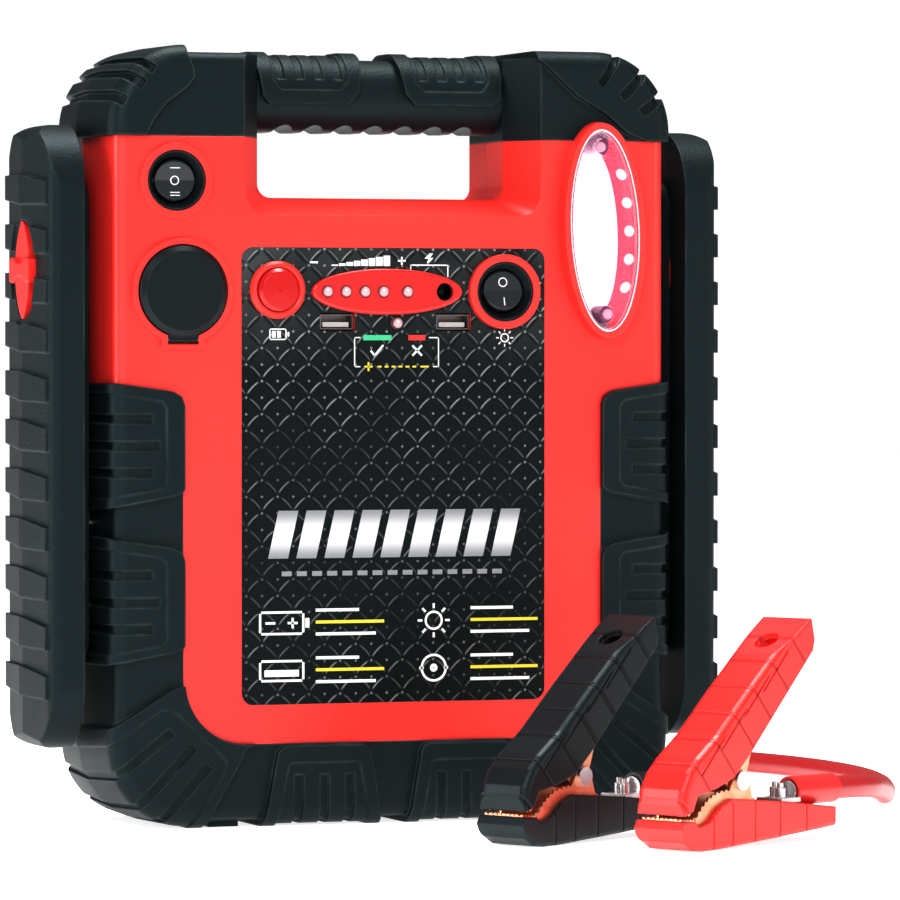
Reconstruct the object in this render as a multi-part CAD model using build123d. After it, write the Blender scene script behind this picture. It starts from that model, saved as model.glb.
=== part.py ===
"""Portable jump starter pack with a carrying handle, a work light and two battery clamps.

Frame: X to the right, the control face looks along -Y, Z up. The origin is the middle of
the pack's footprint, on the surface that it stands on. Millimetres.
"""
from build123d import *
import math
import os

os.makedirs("parts", exist_ok=True)

# ---- driving dimensions --------------------------------------------------------------
BODY_WIDTH = 244.0        # across the flat control face
BODY_TOP = 323.0          # top of the smooth caps above the floor
BODY_BOTTOM = 3.0         # underside of the bumper band, the pads below it reach the floor
BODY_DEPTH = 76.0         # control face to back face
FRONT_PROUD = 9.0         # the lamp stands this far out of the control face
BACK_PROUD = 3.0          # the rear pads stand this far out of the back face
CORNER = 31.0             # corner radius of the body seen from the front
DRAFT_STEP = 3.0          # each side widens by this much from a face to the parting plane
EDGE_ROUND = 5.0          # rounding round the control face
WALL = 2.5                # housing wall
BUMPER = 2.5              # thickness of the rubber band let into the housing
PAD = 3.0                 # height of the raised pads on the band
CAP_BOTTOM = 288.0        # lower edge of the two top caps
BAND_TOP = 188.0          # top of the lower band at the body's side
WINDOW_HALF = 93.0        # the lower band leaves this half width of housing free
WINDOW_BOTTOM = 34.7      # and starts below this height
WINDOW_CORNER = 27.0

OPENING_HALF = 55.0       # hand opening, half width
OPENING_SILL = 263.0      # hand opening, lower edge
OPENING_FLARE = 11.0      # how much the opening widens towards the faces
FLARE_DEPTH = 17.5
SILL_DROP = 7.5
HANDLE_DEPTH = 40.0
HANDLE_HEIGHT = 31.0
HANDLE_TOP = 322.0
HANDLE_BORE = 16.0
GRIP_NOTCHES = 7
GRIP_PITCH = 13.4

WING_GAP = 9.0            # cable channel between the body's side and the wing
WING_THICK = 14.5
WING_SCREW_BITE = 8.0     # depth of a wing screw in the wing
WING_DEPTH = 66.0
WING_BOTTOM = 33.0
WING_TOP = 293.0
HUB_BOTTOM = 68.0
HUB_TOP = 272.0
TREAD = 1.5
TREAD_ROWS = 11
TREAD_PITCH = 20.5
TREAD_TOP = 272.6         # upper edge of the highest tread block
DOCK_Z = 232.5            # middle of the clamp docks
WING_SCREW_ZS = (92.0, 127.0)
WING_SCREW_IN = 8.0       # the wing screws sit this far before the parting plane

LABEL_WIDTH = 135.0
LABEL_BOTTOM = 51.0
LABEL_TOP = 242.0
LABEL_THICK = 1.0

SOCKET_AT = (-93.5, 223.6)
SOCKET_BORE = 21.0        # bore of a car power socket
SOCKET_DEEP = 40.0
SOCKET_WALL = 1.2
SOCKET_RING = 22.0
CAP_RADIUS = 19.2
OUTPUT_SWITCH_AT = (-96.1, 269.5)
LIGHT_SWITCH_AT = (48.8, 223.8)
SWITCH_RING = 15.8
SWITCH_BORE = 12.7
PADDLE_RADIUS = 8.6
BUTTON_AT = (-52.0, 224.2)
BUTTON_RING = 12.1
BUTTON_RADIUS = 9.0
POD_AT = (-3.6, 223.6)
POD_LONG = 33.4
POD_TALL = 9.7
LED_ROW = (-30.4, -22.2, -13.8, -5.6, 5.1)
LED_RADIUS = 2.5
JACK_X = 21.9
JACK_BORE = 3.8
POLARITY_AT = (0.9, 210.4)
USB_XS = (-25.3, 26.5)
USB_Z = 210.9
USB_WIDE = 14.5
USB_TALL = 6.2
USB_ROOM = 0.7            # gap round a port in its opening
USB_SET_BACK = 1.6
LAMP_AT = (93.0, 249.8)
LAMP_LONG = 46.5
LAMP_WIDE = 19.2
LAMP_RIM = 3.2
LAMP_TILT = 2.5
LAMP_SCREW_UP = 35.5      # lamp screws, above and below the middle of the lamp

BATTERY = (151.0, 65.0, 94.0)   # 12 V sealed lead-acid block
CLEARANCE = 0.3           # between a moving piece and its guide
SEAT = 0.02               # between faces that rest on each other

CABLE = 9.5               # outer diameter of the clamp leads
CLAMP_WIDTH = 25.0
CLAMP_HEADING = 28.0      # the clamps lie at this angle from the X axis
RED_CLAMP_AT = (50.9, -207.8)
BLACK_CLAMP_AT = (0.2, -164.3)
PIVOT_ALONG = 37.7        # pivot behind the clamp's nose
PIVOT_UP = 26.9

PIN = 2.6                 # radius of the clamps' pivot rivet
LUG_Z = 19.8              # axis of the cable lug above the floor
LUG_END = 86.0            # the cable meets the lug here
LEAD_END = 44.0           # last straight run of a lead, behind its lug
GLAND_Z = 66.0            # the leads leave the back this far above the floor
LAMP_CHIPS = (-24, -12, 0, 12, 24)
ROCKER_THROW = 9.0        # a rocker leans this far each way

# ---- planes worked out from them -----------------------------------------------------
FRONT = -(BODY_DEPTH + FRONT_PROUD + BACK_PROUD) / 2 + FRONT_PROUD
BACK = FRONT + BODY_DEPTH
PARTING = (FRONT + BACK) / 2
HALF = BODY_WIDTH / 2
SIDE = HALF + DRAFT_STEP
TALL = BODY_TOP - BODY_BOTTOM
MIDDLE = (BODY_TOP + BODY_BOTTOM) / 2
BOARD_Y = FRONT + 10.0    # front of the control board
HINGE_Z = SOCKET_AT[1] - CAP_RADIUS - 1.0
HINGE_Y = FRONT - 0.7
FAR = 200.0               # more than half of any side, for cutting blocks


def block(x0, x1, y0, y1, z0, z1):
    """Box between two corners."""
    centre = Pos((x0 + x1) / 2, (y0 + y1) / 2, (z0 + z1) / 2)
    return centre * Box(x1 - x0, y1 - y0, z1 - z0)


def along_y(face, y0, y1):
    """Carry a face drawn in X and Z from y0 back to y1."""
    plane = Plane((0, y1, 0), x_dir=(1, 0, 0), z_dir=(0, -1, 0))
    return extrude(plane * face, y1 - y0, dir=(0, -1, 0))


def along_x(face, x0, x1):
    """Carry a face drawn in Y and Z from x0 to x1."""
    plane = Plane((x0, 0, 0), x_dir=(0, 1, 0), z_dir=(1, 0, 0))
    return extrude(plane * face, x1 - x0, dir=(1, 0, 0))


def rod_y(at, radius, y0, y1):
    """Cylinder along Y with its middle at (x, z)."""
    return along_y(Pos(*at) * Circle(radius), y0, y1)


def ring_y(at, outer, inner, y0, y1):
    """Tube along Y."""
    return rod_y(at, outer, y0, y1) - rod_y(at, inner, y0 - 1, y1 + 1)


def mirrored_x(shape):
    """The same piece on the other side."""
    return mirror(shape, about=Plane.YZ)


def mirrored_y(shape):
    """The same piece on the other side of the parting plane."""
    return mirror(shape, about=Plane.XZ.offset(-PARTING))


def pair(shape):
    """A shape and its mirror image across the middle."""
    return shape + mirrored_x(shape)


def solids(*shapes):
    """Keep separate solids together in one node."""
    found = []
    for shape in shapes:
        found += shape.solids()
    return Compound(found)


def save(name, shape):
    """Write one node."""
    kept = shape.solids()
    whole = kept[0] if len(kept) == 1 else Compound(list(kept))
    whole.label = name
    export_step(whole, f"parts/{name}.step")


# ---- body ----------------------------------------------------------------------------
def body_half(grow, rounded=True):
    """Front half of the body, grown outwards by grow, drafted from the parting plane."""
    face_y = FRONT - grow
    wide = 2 * (HALF + grow)
    tall = TALL + 2 * grow
    corner = CORNER + grow
    at_face = RectangleRounded(wide, tall, corner)
    at_parting = RectangleRounded(wide + 2 * DRAFT_STEP, tall, corner)
    near = Plane((0, face_y, MIDDLE), x_dir=(1, 0, 0), z_dir=(0, -1, 0))
    far = Plane((0, PARTING, MIDDLE), x_dir=(1, 0, 0), z_dir=(0, -1, 0))
    shape = loft([far * at_parting, near * at_face], ruled=True)
    if rounded:
        rim = shape.faces().sort_by(Axis.Y)[0].edges()
        shape = fillet(rim, max(EDGE_ROUND + grow, 1.0))
    return shape


def layer(outer, inner):
    """Skin of the front half between two growths."""
    return body_half(outer) - body_half(inner)


def hand_opening(grow=0.0):
    """Hand opening of the front half: straight in the middle and flared at the face."""
    tall = 2 * (BODY_TOP - OPENING_SILL)
    sill = OPENING_SILL - grow
    inner = Pos(0, sill + tall / 2) * RectangleRounded(2 * (OPENING_HALF + grow), tall, 6)
    wide = 2 * (OPENING_HALF + OPENING_FLARE + grow)
    outer = Pos(0, sill - SILL_DROP + tall / 2) * RectangleRounded(wide, tall, 10)
    throat_y = FRONT + FLARE_DEPTH + grow
    near = Plane((0, FRONT, 0), x_dir=(1, 0, 0), z_dir=(0, -1, 0))
    far = Plane((0, throat_y, 0), x_dir=(1, 0, 0), z_dir=(0, -1, 0))
    flare = loft([far * inner, near * outer], ruled=True)
    return along_y(outer, FRONT - 20, FRONT) + flare + along_y(inner, throat_y, PARTING)


def band_zone():
    """Where the lower rubber band lies, seen from the front."""
    low = BODY_BOTTOM - 2 * PAD
    whole = Pos(0, (BAND_TOP + low) / 2) * Rectangle(2 * FAR, BAND_TOP - low)
    window = Pos(0, WINDOW_BOTTOM + FAR) * RectangleRounded(2 * WINDOW_HALF, 2 * FAR,
                                                           WINDOW_CORNER)
    edge = -WINDOW_HALF
    wedge = Polygon((-FAR, BAND_TOP + 1), (-FAR, BAND_TOP), (-HALF, BAND_TOP - 2.8),
                    (edge - 5, BAND_TOP - 6.2), (edge - 1.4, BAND_TOP - 8.2),
                    (edge + 0.1, BAND_TOP - 12), (edge + 0.1, BAND_TOP + 1), align=None)
    return whole - window - wedge - mirror(wedge, about=Plane.YZ)


def strip(end, angle, length, width):
    """Straight slot that ends at a point and runs away from it at an angle."""
    return Pos(*end) * Rot(0, 0, angle) * Pos(length / 2, 0) * Rectangle(length, width)


def turned(at, *points):
    """Round piece about an axis along Y at (x, z); points are (radius, y)."""
    return Pos(at[0], 0, at[1]) * revolve(Polygon(*points, align=None), Axis.Y)


def lamp_place(shape):
    """Put a lamp piece, made about the origin of X and Z, in its tilted place."""
    return Pos(LAMP_AT[0], 0, LAMP_AT[1]) * Rot(0, -LAMP_TILT, 0) * shape


BODY = body_half(0)
GROWN = body_half(PAD)
RECESSED = body_half(-BUMPER)
CAVITY = body_half(-BUMPER - WALL, rounded=False) - hand_opening(BUMPER + WALL)
BAND = along_y(band_zone(), FRONT - 20, PARTING)
BELOW_CAPS = block(-FAR, FAR, -FAR, FAR, -50, CAP_BOTTOM)
SPIGOT_TOP = CAP_BOTTOM + 12.0
SCREWS = [(x * side, z) for side in (-1, 1) for x, z in ((114, 192), (86, 130), (86, 52), (60, 248))]
BOSS = 4.2
SCREW = 1.8
SCREW_HEAD = 3.4
WING_SCREW_Y = PARTING - WING_SCREW_IN
COUNTERBORE = 8.0
GLAND_AT = {"red": (40.0, GLAND_Z), "black": (70.0, GLAND_Z)}
GLAND = 7.6
GLAND_IN = BUMPER + WALL + 0.1


def core_hole():
    """Hole for the handle's core tube through the walls beside the hand opening."""
    face = Pos(PARTING, HANDLE_TOP - HANDLE_HEIGHT / 2) * Circle(HANDLE_BORE / 2 + 0.1)
    return along_x(face, -OPENING_HALF - 25, OPENING_HALF + 25)


def wing_holes():
    """Clearance holes of the wing screws, from wing to wing right across the body."""
    reach = SIDE + WING_GAP + WING_SCREW_BITE
    return [along_x(Pos(WING_SCREW_Y, z) * Circle(SCREW + CLEARANCE), -reach, reach)
            for z in WING_SCREW_ZS]


def housing_shell():
    """Front half shell: full size where it shows, let in under the rubber band."""
    outer = (BODY - BAND) + RECESSED
    spigot = body_half(-WALL - CLEARANCE) - hand_opening(WALL + CLEARANCE)
    spigot = spigot & block(-FAR, FAR, -FAR, FAR, CAP_BOTTOM - 1, SPIGOT_TOP)
    shell = (outer - hand_opening()) & BELOW_CAPS
    bosses = [rod_y(at, BOSS, FRONT + WALL, PARTING) for at in SCREWS]
    return shell + spigot - CAVITY + bosses - core_hole()


def lamp_hole(grow=0.0):
    """Oval hole behind the lamp."""
    face = Ellipse(LAMP_WIDE - LAMP_RIM + grow, LAMP_LONG - LAMP_RIM + grow)
    return lamp_place(along_y(face, FRONT - 20, FRONT + 14))


def front_housing(shell):
    """Control side of the housing with its raised rings and all its holes."""
    x, z = SOCKET_AT
    tab = Pos(x, z - 12.3) * RectangleRounded(19, 23, 1.0)
    rings = rod_y(SOCKET_AT, SOCKET_RING, FRONT - 2, FRONT + 1)
    rings += along_y(tab, FRONT - 2, FRONT + 1)
    rings += rod_y(OUTPUT_SWITCH_AT, SWITCH_RING, FRONT - 1.5, FRONT + 1)
    rings += rod_y(LIGHT_SWITCH_AT, SWITCH_RING, FRONT - 3, FRONT + 1)
    label = Pos(0, (LABEL_TOP + LABEL_BOTTOM) / 2) * RectangleRounded(
        LABEL_WIDTH, LABEL_TOP - LABEL_BOTTOM, 5)
    ring_land = rod_y(LIGHT_SWITCH_AT, SWITCH_RING, FRONT - 3, FRONT + 3)
    body = shell - along_y(label, FRONT - 1, FRONT + LABEL_THICK) + ring_land + rings
    slot = along_y(Pos(x, z - 12.6) * Rectangle(13.4, 19), FRONT - 5, FRONT + 1.2)
    holes = [slot, rod_y(SOCKET_AT, CAP_RADIUS + CLEARANCE, FRONT - 5, FRONT + 1.2),
             rod_y(SOCKET_AT, SOCKET_BORE / 2 + 5, FRONT - 5, FRONT + 20), lamp_hole(CLEARANCE)]
    for at in (OUTPUT_SWITCH_AT, LIGHT_SWITCH_AT):
        holes.append(rod_y(at, SWITCH_BORE, FRONT - 5, FRONT + 20))
    holes.append(rod_y(BUTTON_AT, BUTTON_RADIUS + 2, FRONT - 5, FRONT + 20))
    for led_x in LED_ROW:
        holes.append(rod_y((led_x, POD_AT[1]), LED_RADIUS + CLEARANCE, FRONT - 5, FRONT + 20))
    holes.append(rod_y(POLARITY_AT, LED_RADIUS + CLEARANCE, FRONT - 5, FRONT + 20))
    holes.append(rod_y((JACK_X, POD_AT[1]), JACK_BORE + 1.5, FRONT - 5, FRONT + 20))
    for port_x in USB_XS:
        port = Pos(port_x, USB_Z) * Rectangle(USB_WIDE + 2 * USB_ROOM, USB_TALL + 2 * USB_ROOM)
        holes.append(along_y(port, FRONT - 5, FRONT + 20))
    holes += [rod_y(at, SCREW, PARTING - 16, PARTING + 1) for at in SCREWS]
    pin_hole = along_x(Pos(HINGE_Y, HINGE_Z) * Circle(0.65), x - 8.5, x + 8.5)
    return body - holes - pin_hole - wing_holes()


def rear_housing(shell):
    """Back half of the housing with its screw wells and the two cable holes."""
    body = mirrored_y(shell)
    bosses = [rod_y(at, SCREW_HEAD + 2, BACK - COUNTERBORE - 2, BACK - WALL) for at in SCREWS]
    holes = [rod_y(at, SCREW_HEAD + CLEARANCE, BACK - COUNTERBORE, BACK + 9) for at in SCREWS]
    holes += [rod_y(at, SCREW + CLEARANCE, PARTING - 1, BACK) for at in SCREWS]
    holes += [rod_y(at, GLAND, BACK - 20, BACK + 9) for at in GLAND_AT.values()]
    return body + bosses - holes


def pads():
    """Raised pads of the left front quarter, with their sunk middles and slots."""
    edge = -WINDOW_HALF
    side = -HALF - 3 * PAD
    shapes, sunk, slots = [], [], []
    for top in (185.2, 120.3):
        low = top - 51.0
        shapes.append(Polygon((side, top + 3), (-HALF, top), (edge - 5, top - 3.4),
                              (edge - 1.2, top - 5.5), (edge, top - 9), (edge, low + 7),
                              (edge - 1.2, low + 5.5), (edge - 4, low + 4.4), (-HALF, low),
                              (side, low - 2.4), align=None))
        sunk.append(Polygon((side, top - 2.4), (-HALF, top - 4.6), (-103, top - 7.4),
                            (-101, top - 10), (-101, low + 9.5), (-103, low + 7.2),
                            (-HALF, low + 4.2), (side, low + 2), align=None))
        for reach, down in ((-107, 14.6), (-104, 25.9), (-107, 37)):
            slots.append(strip((reach, top - down), 180, 40, 3.8))
    shapes.append(Polygon((side, 38.5), (-HALF, 43.8), (-99, 58.2), (-95, 59.4), (-91, 59.6),
                          (-58, 59.6), (-58, 36), (-66.4, 33), (-67.4, 30), (-84.5, 0),
                          (-87, -5), (side, -5), align=None))
    sunk.append(Polygon((side, 30), (-HALF, 37.2), (-103.5, 49.4), (-100, 50), (-97, 48.4),
                        (-76, 29), (-75, 26.6), (-75.6, 24.6), (-90, 0), (-93, -5),
                        (side, -5), align=None))
    for end, angle in (((-98.7, 40.7), 218), ((-89.6, 33.9), 226), ((-82.7, 26), 228)):
        slots.append(strip(end, angle, 60, 3.6))
    shapes.append(Polygon((-59.4, -5), (-52.4, 31), (-50.6, 33), (-48, 33.8), (-15, 33.8),
                          (-12.6, 33), (-11.2, 31), (-5.2, -5), align=None))
    sunk.append(Polygon((-53.6, -5), (-47.6, 25.4), (-46, 26.6), (-17.6, 26.6), (-16.2, 25.4),
                        (-10.4, -5), align=None))
    for x in (-43, -31.6, -20.4):
        slots.append(strip((x, 21.5), 270, 40, 3.8))
    return shapes, sunk, slots


def pressed(faces):
    """Carry a list of faces right through the front half."""
    shapes = [along_y(face, FRONT - 20, PARTING) for face in faces]
    return shapes[0] + shapes[1:]


def lower_bumper():
    """Front half of the rubber band with its raised pads."""
    shapes, sunk, slots = pads()
    band = (BODY - RECESSED) & BAND
    raised = (GROWN - BODY) & pressed(shapes) & BAND
    raised -= pressed(sunk) - body_half(PAD - 0.9)
    raised -= pressed(slots) - body_half(0.6)
    foot = block(-80, -67, FRONT + 7, PARTING, 0, BODY_BOTTOM + 0.5)
    return band + pair(raised) + pair(foot) - wing_holes()


def top_cap(zone, cuts):
    """Left rubber cap: one piece over the front and the rear half, with raised treads."""
    above = block(-FAR, -OPENING_HALF, -FAR, FAR, CAP_BOTTOM + SEAT, FAR * 2)
    shell = BODY - hand_opening() - (body_half(-WALL) - hand_opening(WALL))
    treads = (GROWN - BODY) & pressed([zone])
    treads -= pressed(cuts) - body_half(0.7)
    half = (shell + treads) & above
    return half + mirrored_y(half) - core_hole()


# tread zones seen from the front: the left cap's, and the right cap's drawn on the left side
LEFT_ZONE = Polygon((-HALF - 20, CAP_BOTTOM - 5), (-HALF - 20, BODY_TOP + 9), (-91.5, BODY_TOP + 9),
                    (-91.5, 322), (-89, 316), (-88.4, 312.6), (-92, 308), (-100.4, 302),
                    (-106, 295), (-109.6, CAP_BOTTOM), (-110, CAP_BOTTOM - 5), align=None)
LEFT_CUTS = [strip((-106.3, 315.2), 143, 60, 3.8), strip((-110.8, 309), 147, 60, 4.2),
             strip((-118.7, 302), 150, 60, 4.4)]
RIGHT_ZONE = Polygon((-HALF - 20, CAP_BOTTOM - 5), (-HALF - 20, BODY_TOP + 9), (-64, BODY_TOP + 9),
                     (-64.3, 322), (-68, 319), (-74, 313.6), (-82, 306.5), (-95, 299),
                     (-104, 291.5), (-113, CAP_BOTTOM), (-114, CAP_BOTTOM - 5), align=None)
RIGHT_CUTS = [strip((-91.8, 311.7), 125, 60, 3.4), strip((-101.8, 306.5), 135, 60, 3.8),
              strip((-110.6, 300), 143, 60, 4)]


def handle_section(grow):
    """Oval section of the handle in Y and Z, grown outwards."""
    tall = HANDLE_HEIGHT + 2 * grow
    face = RectangleRounded(HANDLE_DEPTH + 2 * grow, tall, HANDLE_HEIGHT / 2 - 1 + grow)
    return Pos(PARTING, HANDLE_TOP - HANDLE_HEIGHT / 2) * face


def handle():
    """Rubber grip with finger notches, its core tube and the two raised grip pads."""
    reach = OPENING_HALF - SEAT
    middle = HANDLE_TOP - HANDLE_HEIGHT / 2
    bore = Pos(PARTING, middle) * Circle(HANDLE_BORE / 2)
    grip = along_x(handle_section(0) - bore, -reach, reach)
    for index in range(GRIP_NOTCHES):
        x = (index - (GRIP_NOTCHES - 1) / 2) * GRIP_PITCH
        notch = Pos(x, HANDLE_TOP - HANDLE_HEIGHT - 2) * Circle(5)
        grip -= along_y(notch, FRONT, BACK)
    tube = Circle(HANDLE_BORE / 2 - 0.05) - Circle(HANDLE_BORE / 2 - 2)
    core = along_x(Pos(PARTING, middle) * tube, -OPENING_HALF - 22, OPENING_HALF + 22)
    low = HANDLE_TOP - 19.5
    top = HANDLE_TOP + 9
    outline = Polygon((8, top), (8, HANDLE_TOP), (10.5, low + 5), (15, low), (50, low),
                      (53, low + 3), (OPENING_HALF - 0.3, HANDLE_TOP - 4), (OPENING_HALF - 0.3, top),
                      align=None)
    sunk = Polygon((15, top), (15, low + 10), (19, low + 6), (45, low + 6), (48, low + 10),
                   (48, top), align=None)
    shell = along_x(handle_section(PAD) - handle_section(SEAT), -OPENING_HALF, OPENING_HALF)
    deep = along_x(handle_section(PAD + 1) - handle_section(PAD - 1.1), -FAR, FAR)
    pad = shell & along_y(outline, FRONT, BACK)
    pad -= deep & along_y(sunk, FRONT, BACK)
    groove = along_x(handle_section(PAD + 1) - handle_section(0.9), -FAR, FAR)
    for x in (19, 27.5, 36, 44.5):
        pad -= groove & block(x - 1.8, x + 1.8, FRONT, BACK, HANDLE_TOP - 9, top)
    return grip, core, pair(pad)


def wing():
    """Left tyre-tread wing with the notch for the clamp dock, and its hub."""
    inner = -(SIDE + WING_GAP)
    rim = inner - WING_THICK
    crest = rim - DRAFT_STEP
    y0, y1 = PARTING - WING_DEPTH / 2, PARTING + WING_DEPTH / 2
    tall = WING_TOP - WING_BOTTOM
    centre = (WING_TOP + WING_BOTTOM) / 2

    def plan(grow):
        """Section of the wing in X and Y."""
        face = Polygon((inner, y0), (inner, y1), (rim - grow, y1 + grow), (crest - grow, PARTING),
                       (rim - grow, y0 - grow), align=None)
        corners = face.vertices().sort_by(Axis.X)[1:3]
        return fillet(corners, 5)

    side_face = Pos(PARTING, centre) * RectangleRounded(WING_DEPTH, tall, 27)
    front_face = Pos(rim + 40, centre) * RectangleRounded(80 + 2 * DRAFT_STEP + 2 * TREAD, tall, 12)
    up = (0, 0, 1)
    solid = extrude(Pos(0, 0, WING_BOTTOM) * plan(0), tall, dir=up)
    solid = solid & along_x(side_face, crest - 5, inner) & along_y(front_face, y0 - 5, y1 + 5)
    dock = Pos(PARTING, DOCK_Z) * Ellipse(16, 21)
    solid -= along_x(dock, crest - 5, inner + 1)
    treads = []
    for row in range(TREAD_ROWS):
        z = TREAD_TOP - row * TREAD_PITCH
        block_face = Polygon((PARTING, z), (y0 + 3, z - 3.5), (y0 + 3, z - 13.2),
                             (PARTING, z - 12.7), (y1 - 1, z - 10), (y1 - 1, z), align=None)
        treads.append(along_x(block_face, crest - 5, rim))
    full = extrude(Pos(0, 0, WING_BOTTOM) * plan(TREAD), tall, dir=up)
    skin = full & along_y(front_face, y0 - 5, y1 + 5) & (treads[0] + treads[1:])
    skin = skin - extrude(Pos(0, 0, WING_BOTTOM) * plan(0), tall, dir=up) - along_x(
        Pos(PARTING, DOCK_Z) * Ellipse(18, 23), crest - 5, inner + 1)
    hub_face = Pos(PARTING, (HUB_TOP + HUB_BOTTOM) / 2) * RectangleRounded(
        30, HUB_TOP - HUB_BOTTOM, 12)
    hub = along_x(hub_face, inner + SEAT, -SIDE + 1)
    hub = hub - wing_holes() - BODY - mirrored_y(BODY) - mirrored_y(GROWN) - GROWN
    return solid + skin - wing_holes(), hub


def clamp_dock():
    """Red insert in the left wing: a lens-shaped web with a waisted bar that a clamp bites."""
    inner = -(SIDE + WING_GAP)
    crest = inner - WING_THICK - DRAFT_STEP
    lens = Pos(PARTING - 12, DOCK_Z) * Circle(26.5) & Pos(PARTING + 24, DOCK_Z) * Circle(30)
    base = along_x(Pos(PARTING, DOCK_Z) * Ellipse(15.7, 20.7), inner - 3, inner - SEAT)
    web = along_x(Pos(-2, 0) * lens, crest + 0.5, inner - 2)
    bar = Polygon((-14.5, 4.6), (-10, 5.4), (-3, 2.8), (3, 2.8), (10, 5.4), (14.5, 4.6),
                  (14.5, -4.6), (10, -5.4), (3, -2.8), (-3, -2.8), (-10, -5.4), (-14.5, -4.6),
                  align=None)
    cross = along_x(Pos(PARTING, DOCK_Z) * bar, crest - TREAD, crest + 2.4)
    neck = along_x(Pos(PARTING, DOCK_Z) * RectangleRounded(12, 5, 1), crest + 1, crest + 4)
    room = along_x(Pos(PARTING, DOCK_Z) * Ellipse(15.6, 20.6), -FAR, 0)
    return base + (web & room) + cross + neck



def rocker_body(at, proud):
    """Round switch body let into the panel; its mouth stands proud of the face by proud."""
    mouth = FRONT - proud + 0.6
    shape = turned(at, (SWITCH_BORE - 0.2, mouth), (SWITCH_BORE - 0.2, FRONT + 22), (0, FRONT + 22),
                   (0, mouth + 12), (PADDLE_RADIUS + 0.9, mouth + 12),
                   (PADDLE_RADIUS + 0.9, mouth + 3.6), (SWITCH_BORE - 0.9, mouth))
    pivot = along_x(Pos(mouth + 6, at[1]) * Circle(1.25), at[0] - 11, at[0] + 11)
    lugs = [block(at[0] + dx - 0.4, at[0] + dx + 0.4, FRONT + 22, FRONT + 29, at[1] - 2.4,
                  at[1] + 2.4) for dx in (-4, 4)]
    return shape - pivot + lugs


def rocker(at, proud, tilt):
    """Paddle with a hollowed face on its pivot pin, turned by tilt about X."""
    y = FRONT - proud + 6.6
    disc = turned((0, 0), (PADDLE_RADIUS, -3.4), (PADDLE_RADIUS, 1.6), (PADDLE_RADIUS - 2, 3.4),
                  (0, 3.4), (0, -4.2), (PADDLE_RADIUS - 0.8, -4.2))
    for side in (-1, 1):
        wedge = block(-20, 20, -8, 0, -20, 20)
        disc -= Rot(side * 7, 0, 0) * Pos(0, -3.2, 0) * wedge & block(
            -20, 20, -20, 20, min(0, side * 20), max(0, side * 20))
    pin = along_x(Circle(1.2), -10.6, 10.6)
    return Pos(at[0], y, at[1]) * Rot(tilt, 0, 0) * (disc + pin)


def battery_check():
    """Bezel, button and return spring of the battery check."""
    lip = FRONT - 2.6
    bezel = turned(BUTTON_AT, (BUTTON_RADIUS + CLEARANCE, lip + 0.4), (BUTTON_RADIUS + 1, lip),
                   (BUTTON_RING - 1.2, lip), (BUTTON_RING, lip + 1.4), (BUTTON_RING, FRONT),
                   (BUTTON_RADIUS + 1.9, FRONT), (BUTTON_RADIUS + 1.9, FRONT + 9),
                   (BUTTON_RADIUS + 1.2, FRONT + 9), (BUTTON_RADIUS + 1.2, FRONT + 1),
                   (BUTTON_RADIUS + CLEARANCE, FRONT + 1))
    crown = FRONT - 4.6
    button = turned(BUTTON_AT, (0, crown), (BUTTON_RADIUS - 1.4, crown + 0.2),
                    (BUTTON_RADIUS, crown + 1.5), (BUTTON_RADIUS, FRONT + 1.3),
                    (BUTTON_RADIUS + 0.9, FRONT + 1.3), (BUTTON_RADIUS + 0.9, FRONT + 2.8),
                    (2.6, FRONT + 2.8), (2.6, FRONT + 4), (0, FRONT + 4))
    profile = [(3.6, FRONT + 3.0)]
    turns, start, end = 5, FRONT + 3.0, BOARD_Y
    pitch = (end - start) / turns
    for turn in range(turns):
        profile += [(4.4, start + (turn + 0.5) * pitch), (3.6, start + (turn + 1) * pitch)]
    inner = [(r - 0.7, y) for r, y in reversed(profile)]
    return bezel, button, turned(BUTTON_AT, *profile, *inner)


def power_socket():
    """12 V socket: plastic holder, metal liner, centre contact and hinged rubber cap."""
    bore = SOCKET_BORE / 2
    liner = turned(SOCKET_AT, (bore, FRONT + 1.4), (bore + SOCKET_WALL, FRONT + 1.4),
                   (bore + SOCKET_WALL, FRONT + SOCKET_DEEP), (3.4, FRONT + SOCKET_DEEP),
                   (3.4, FRONT + SOCKET_DEEP - 1), (bore, FRONT + SOCKET_DEEP - 1))
    out = bore + SOCKET_WALL
    holder = turned(SOCKET_AT, (out, FRONT + 1.2), (bore + 4.8, FRONT + 1.2),
                    (bore + 4.8, FRONT + 26), (bore + 3, FRONT + 28), (out, FRONT + 28))
    contact = turned(SOCKET_AT, (0, FRONT + SOCKET_DEEP - 6), (2.4, FRONT + SOCKET_DEEP - 5),
                     (2.4, FRONT + SOCKET_DEEP - 2), (3.2, FRONT + SOCKET_DEEP - 2),
                     (3.2, FRONT + SOCKET_DEEP + 8), (0, FRONT + SOCKET_DEEP + 8))
    x, z = SOCKET_AT
    front = FRONT - 4.4
    cap = turned(SOCKET_AT, (0, front), (CAP_RADIUS - 2.6, front), (CAP_RADIUS - 0.4, front + 1.6),
                 (CAP_RADIUS, front + 3), (CAP_RADIUS, FRONT + 0.4), (bore - 1, FRONT + 0.4),
                 (bore - 1.2, FRONT + 3.4), (bore - 2.6, FRONT + 3.4), (bore - 2.6, FRONT + 0.4),
                 (0, FRONT + 0.4))
    tab = block(x - 6.2, x + 6.2, FRONT - 1.8, FRONT + 0.4, HINGE_Z, z - CAP_RADIUS + 3)
    barrel = along_x(Pos(HINGE_Y, HINGE_Z) * Circle(1.2), x - 6.2, x + 6.2)
    pin = along_x(Pos(HINGE_Y, HINGE_Z) * Circle(0.6), x - 8.4, x + 8.4)
    return liner, holder, contact, cap + tab + barrel - pin, pin


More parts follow.
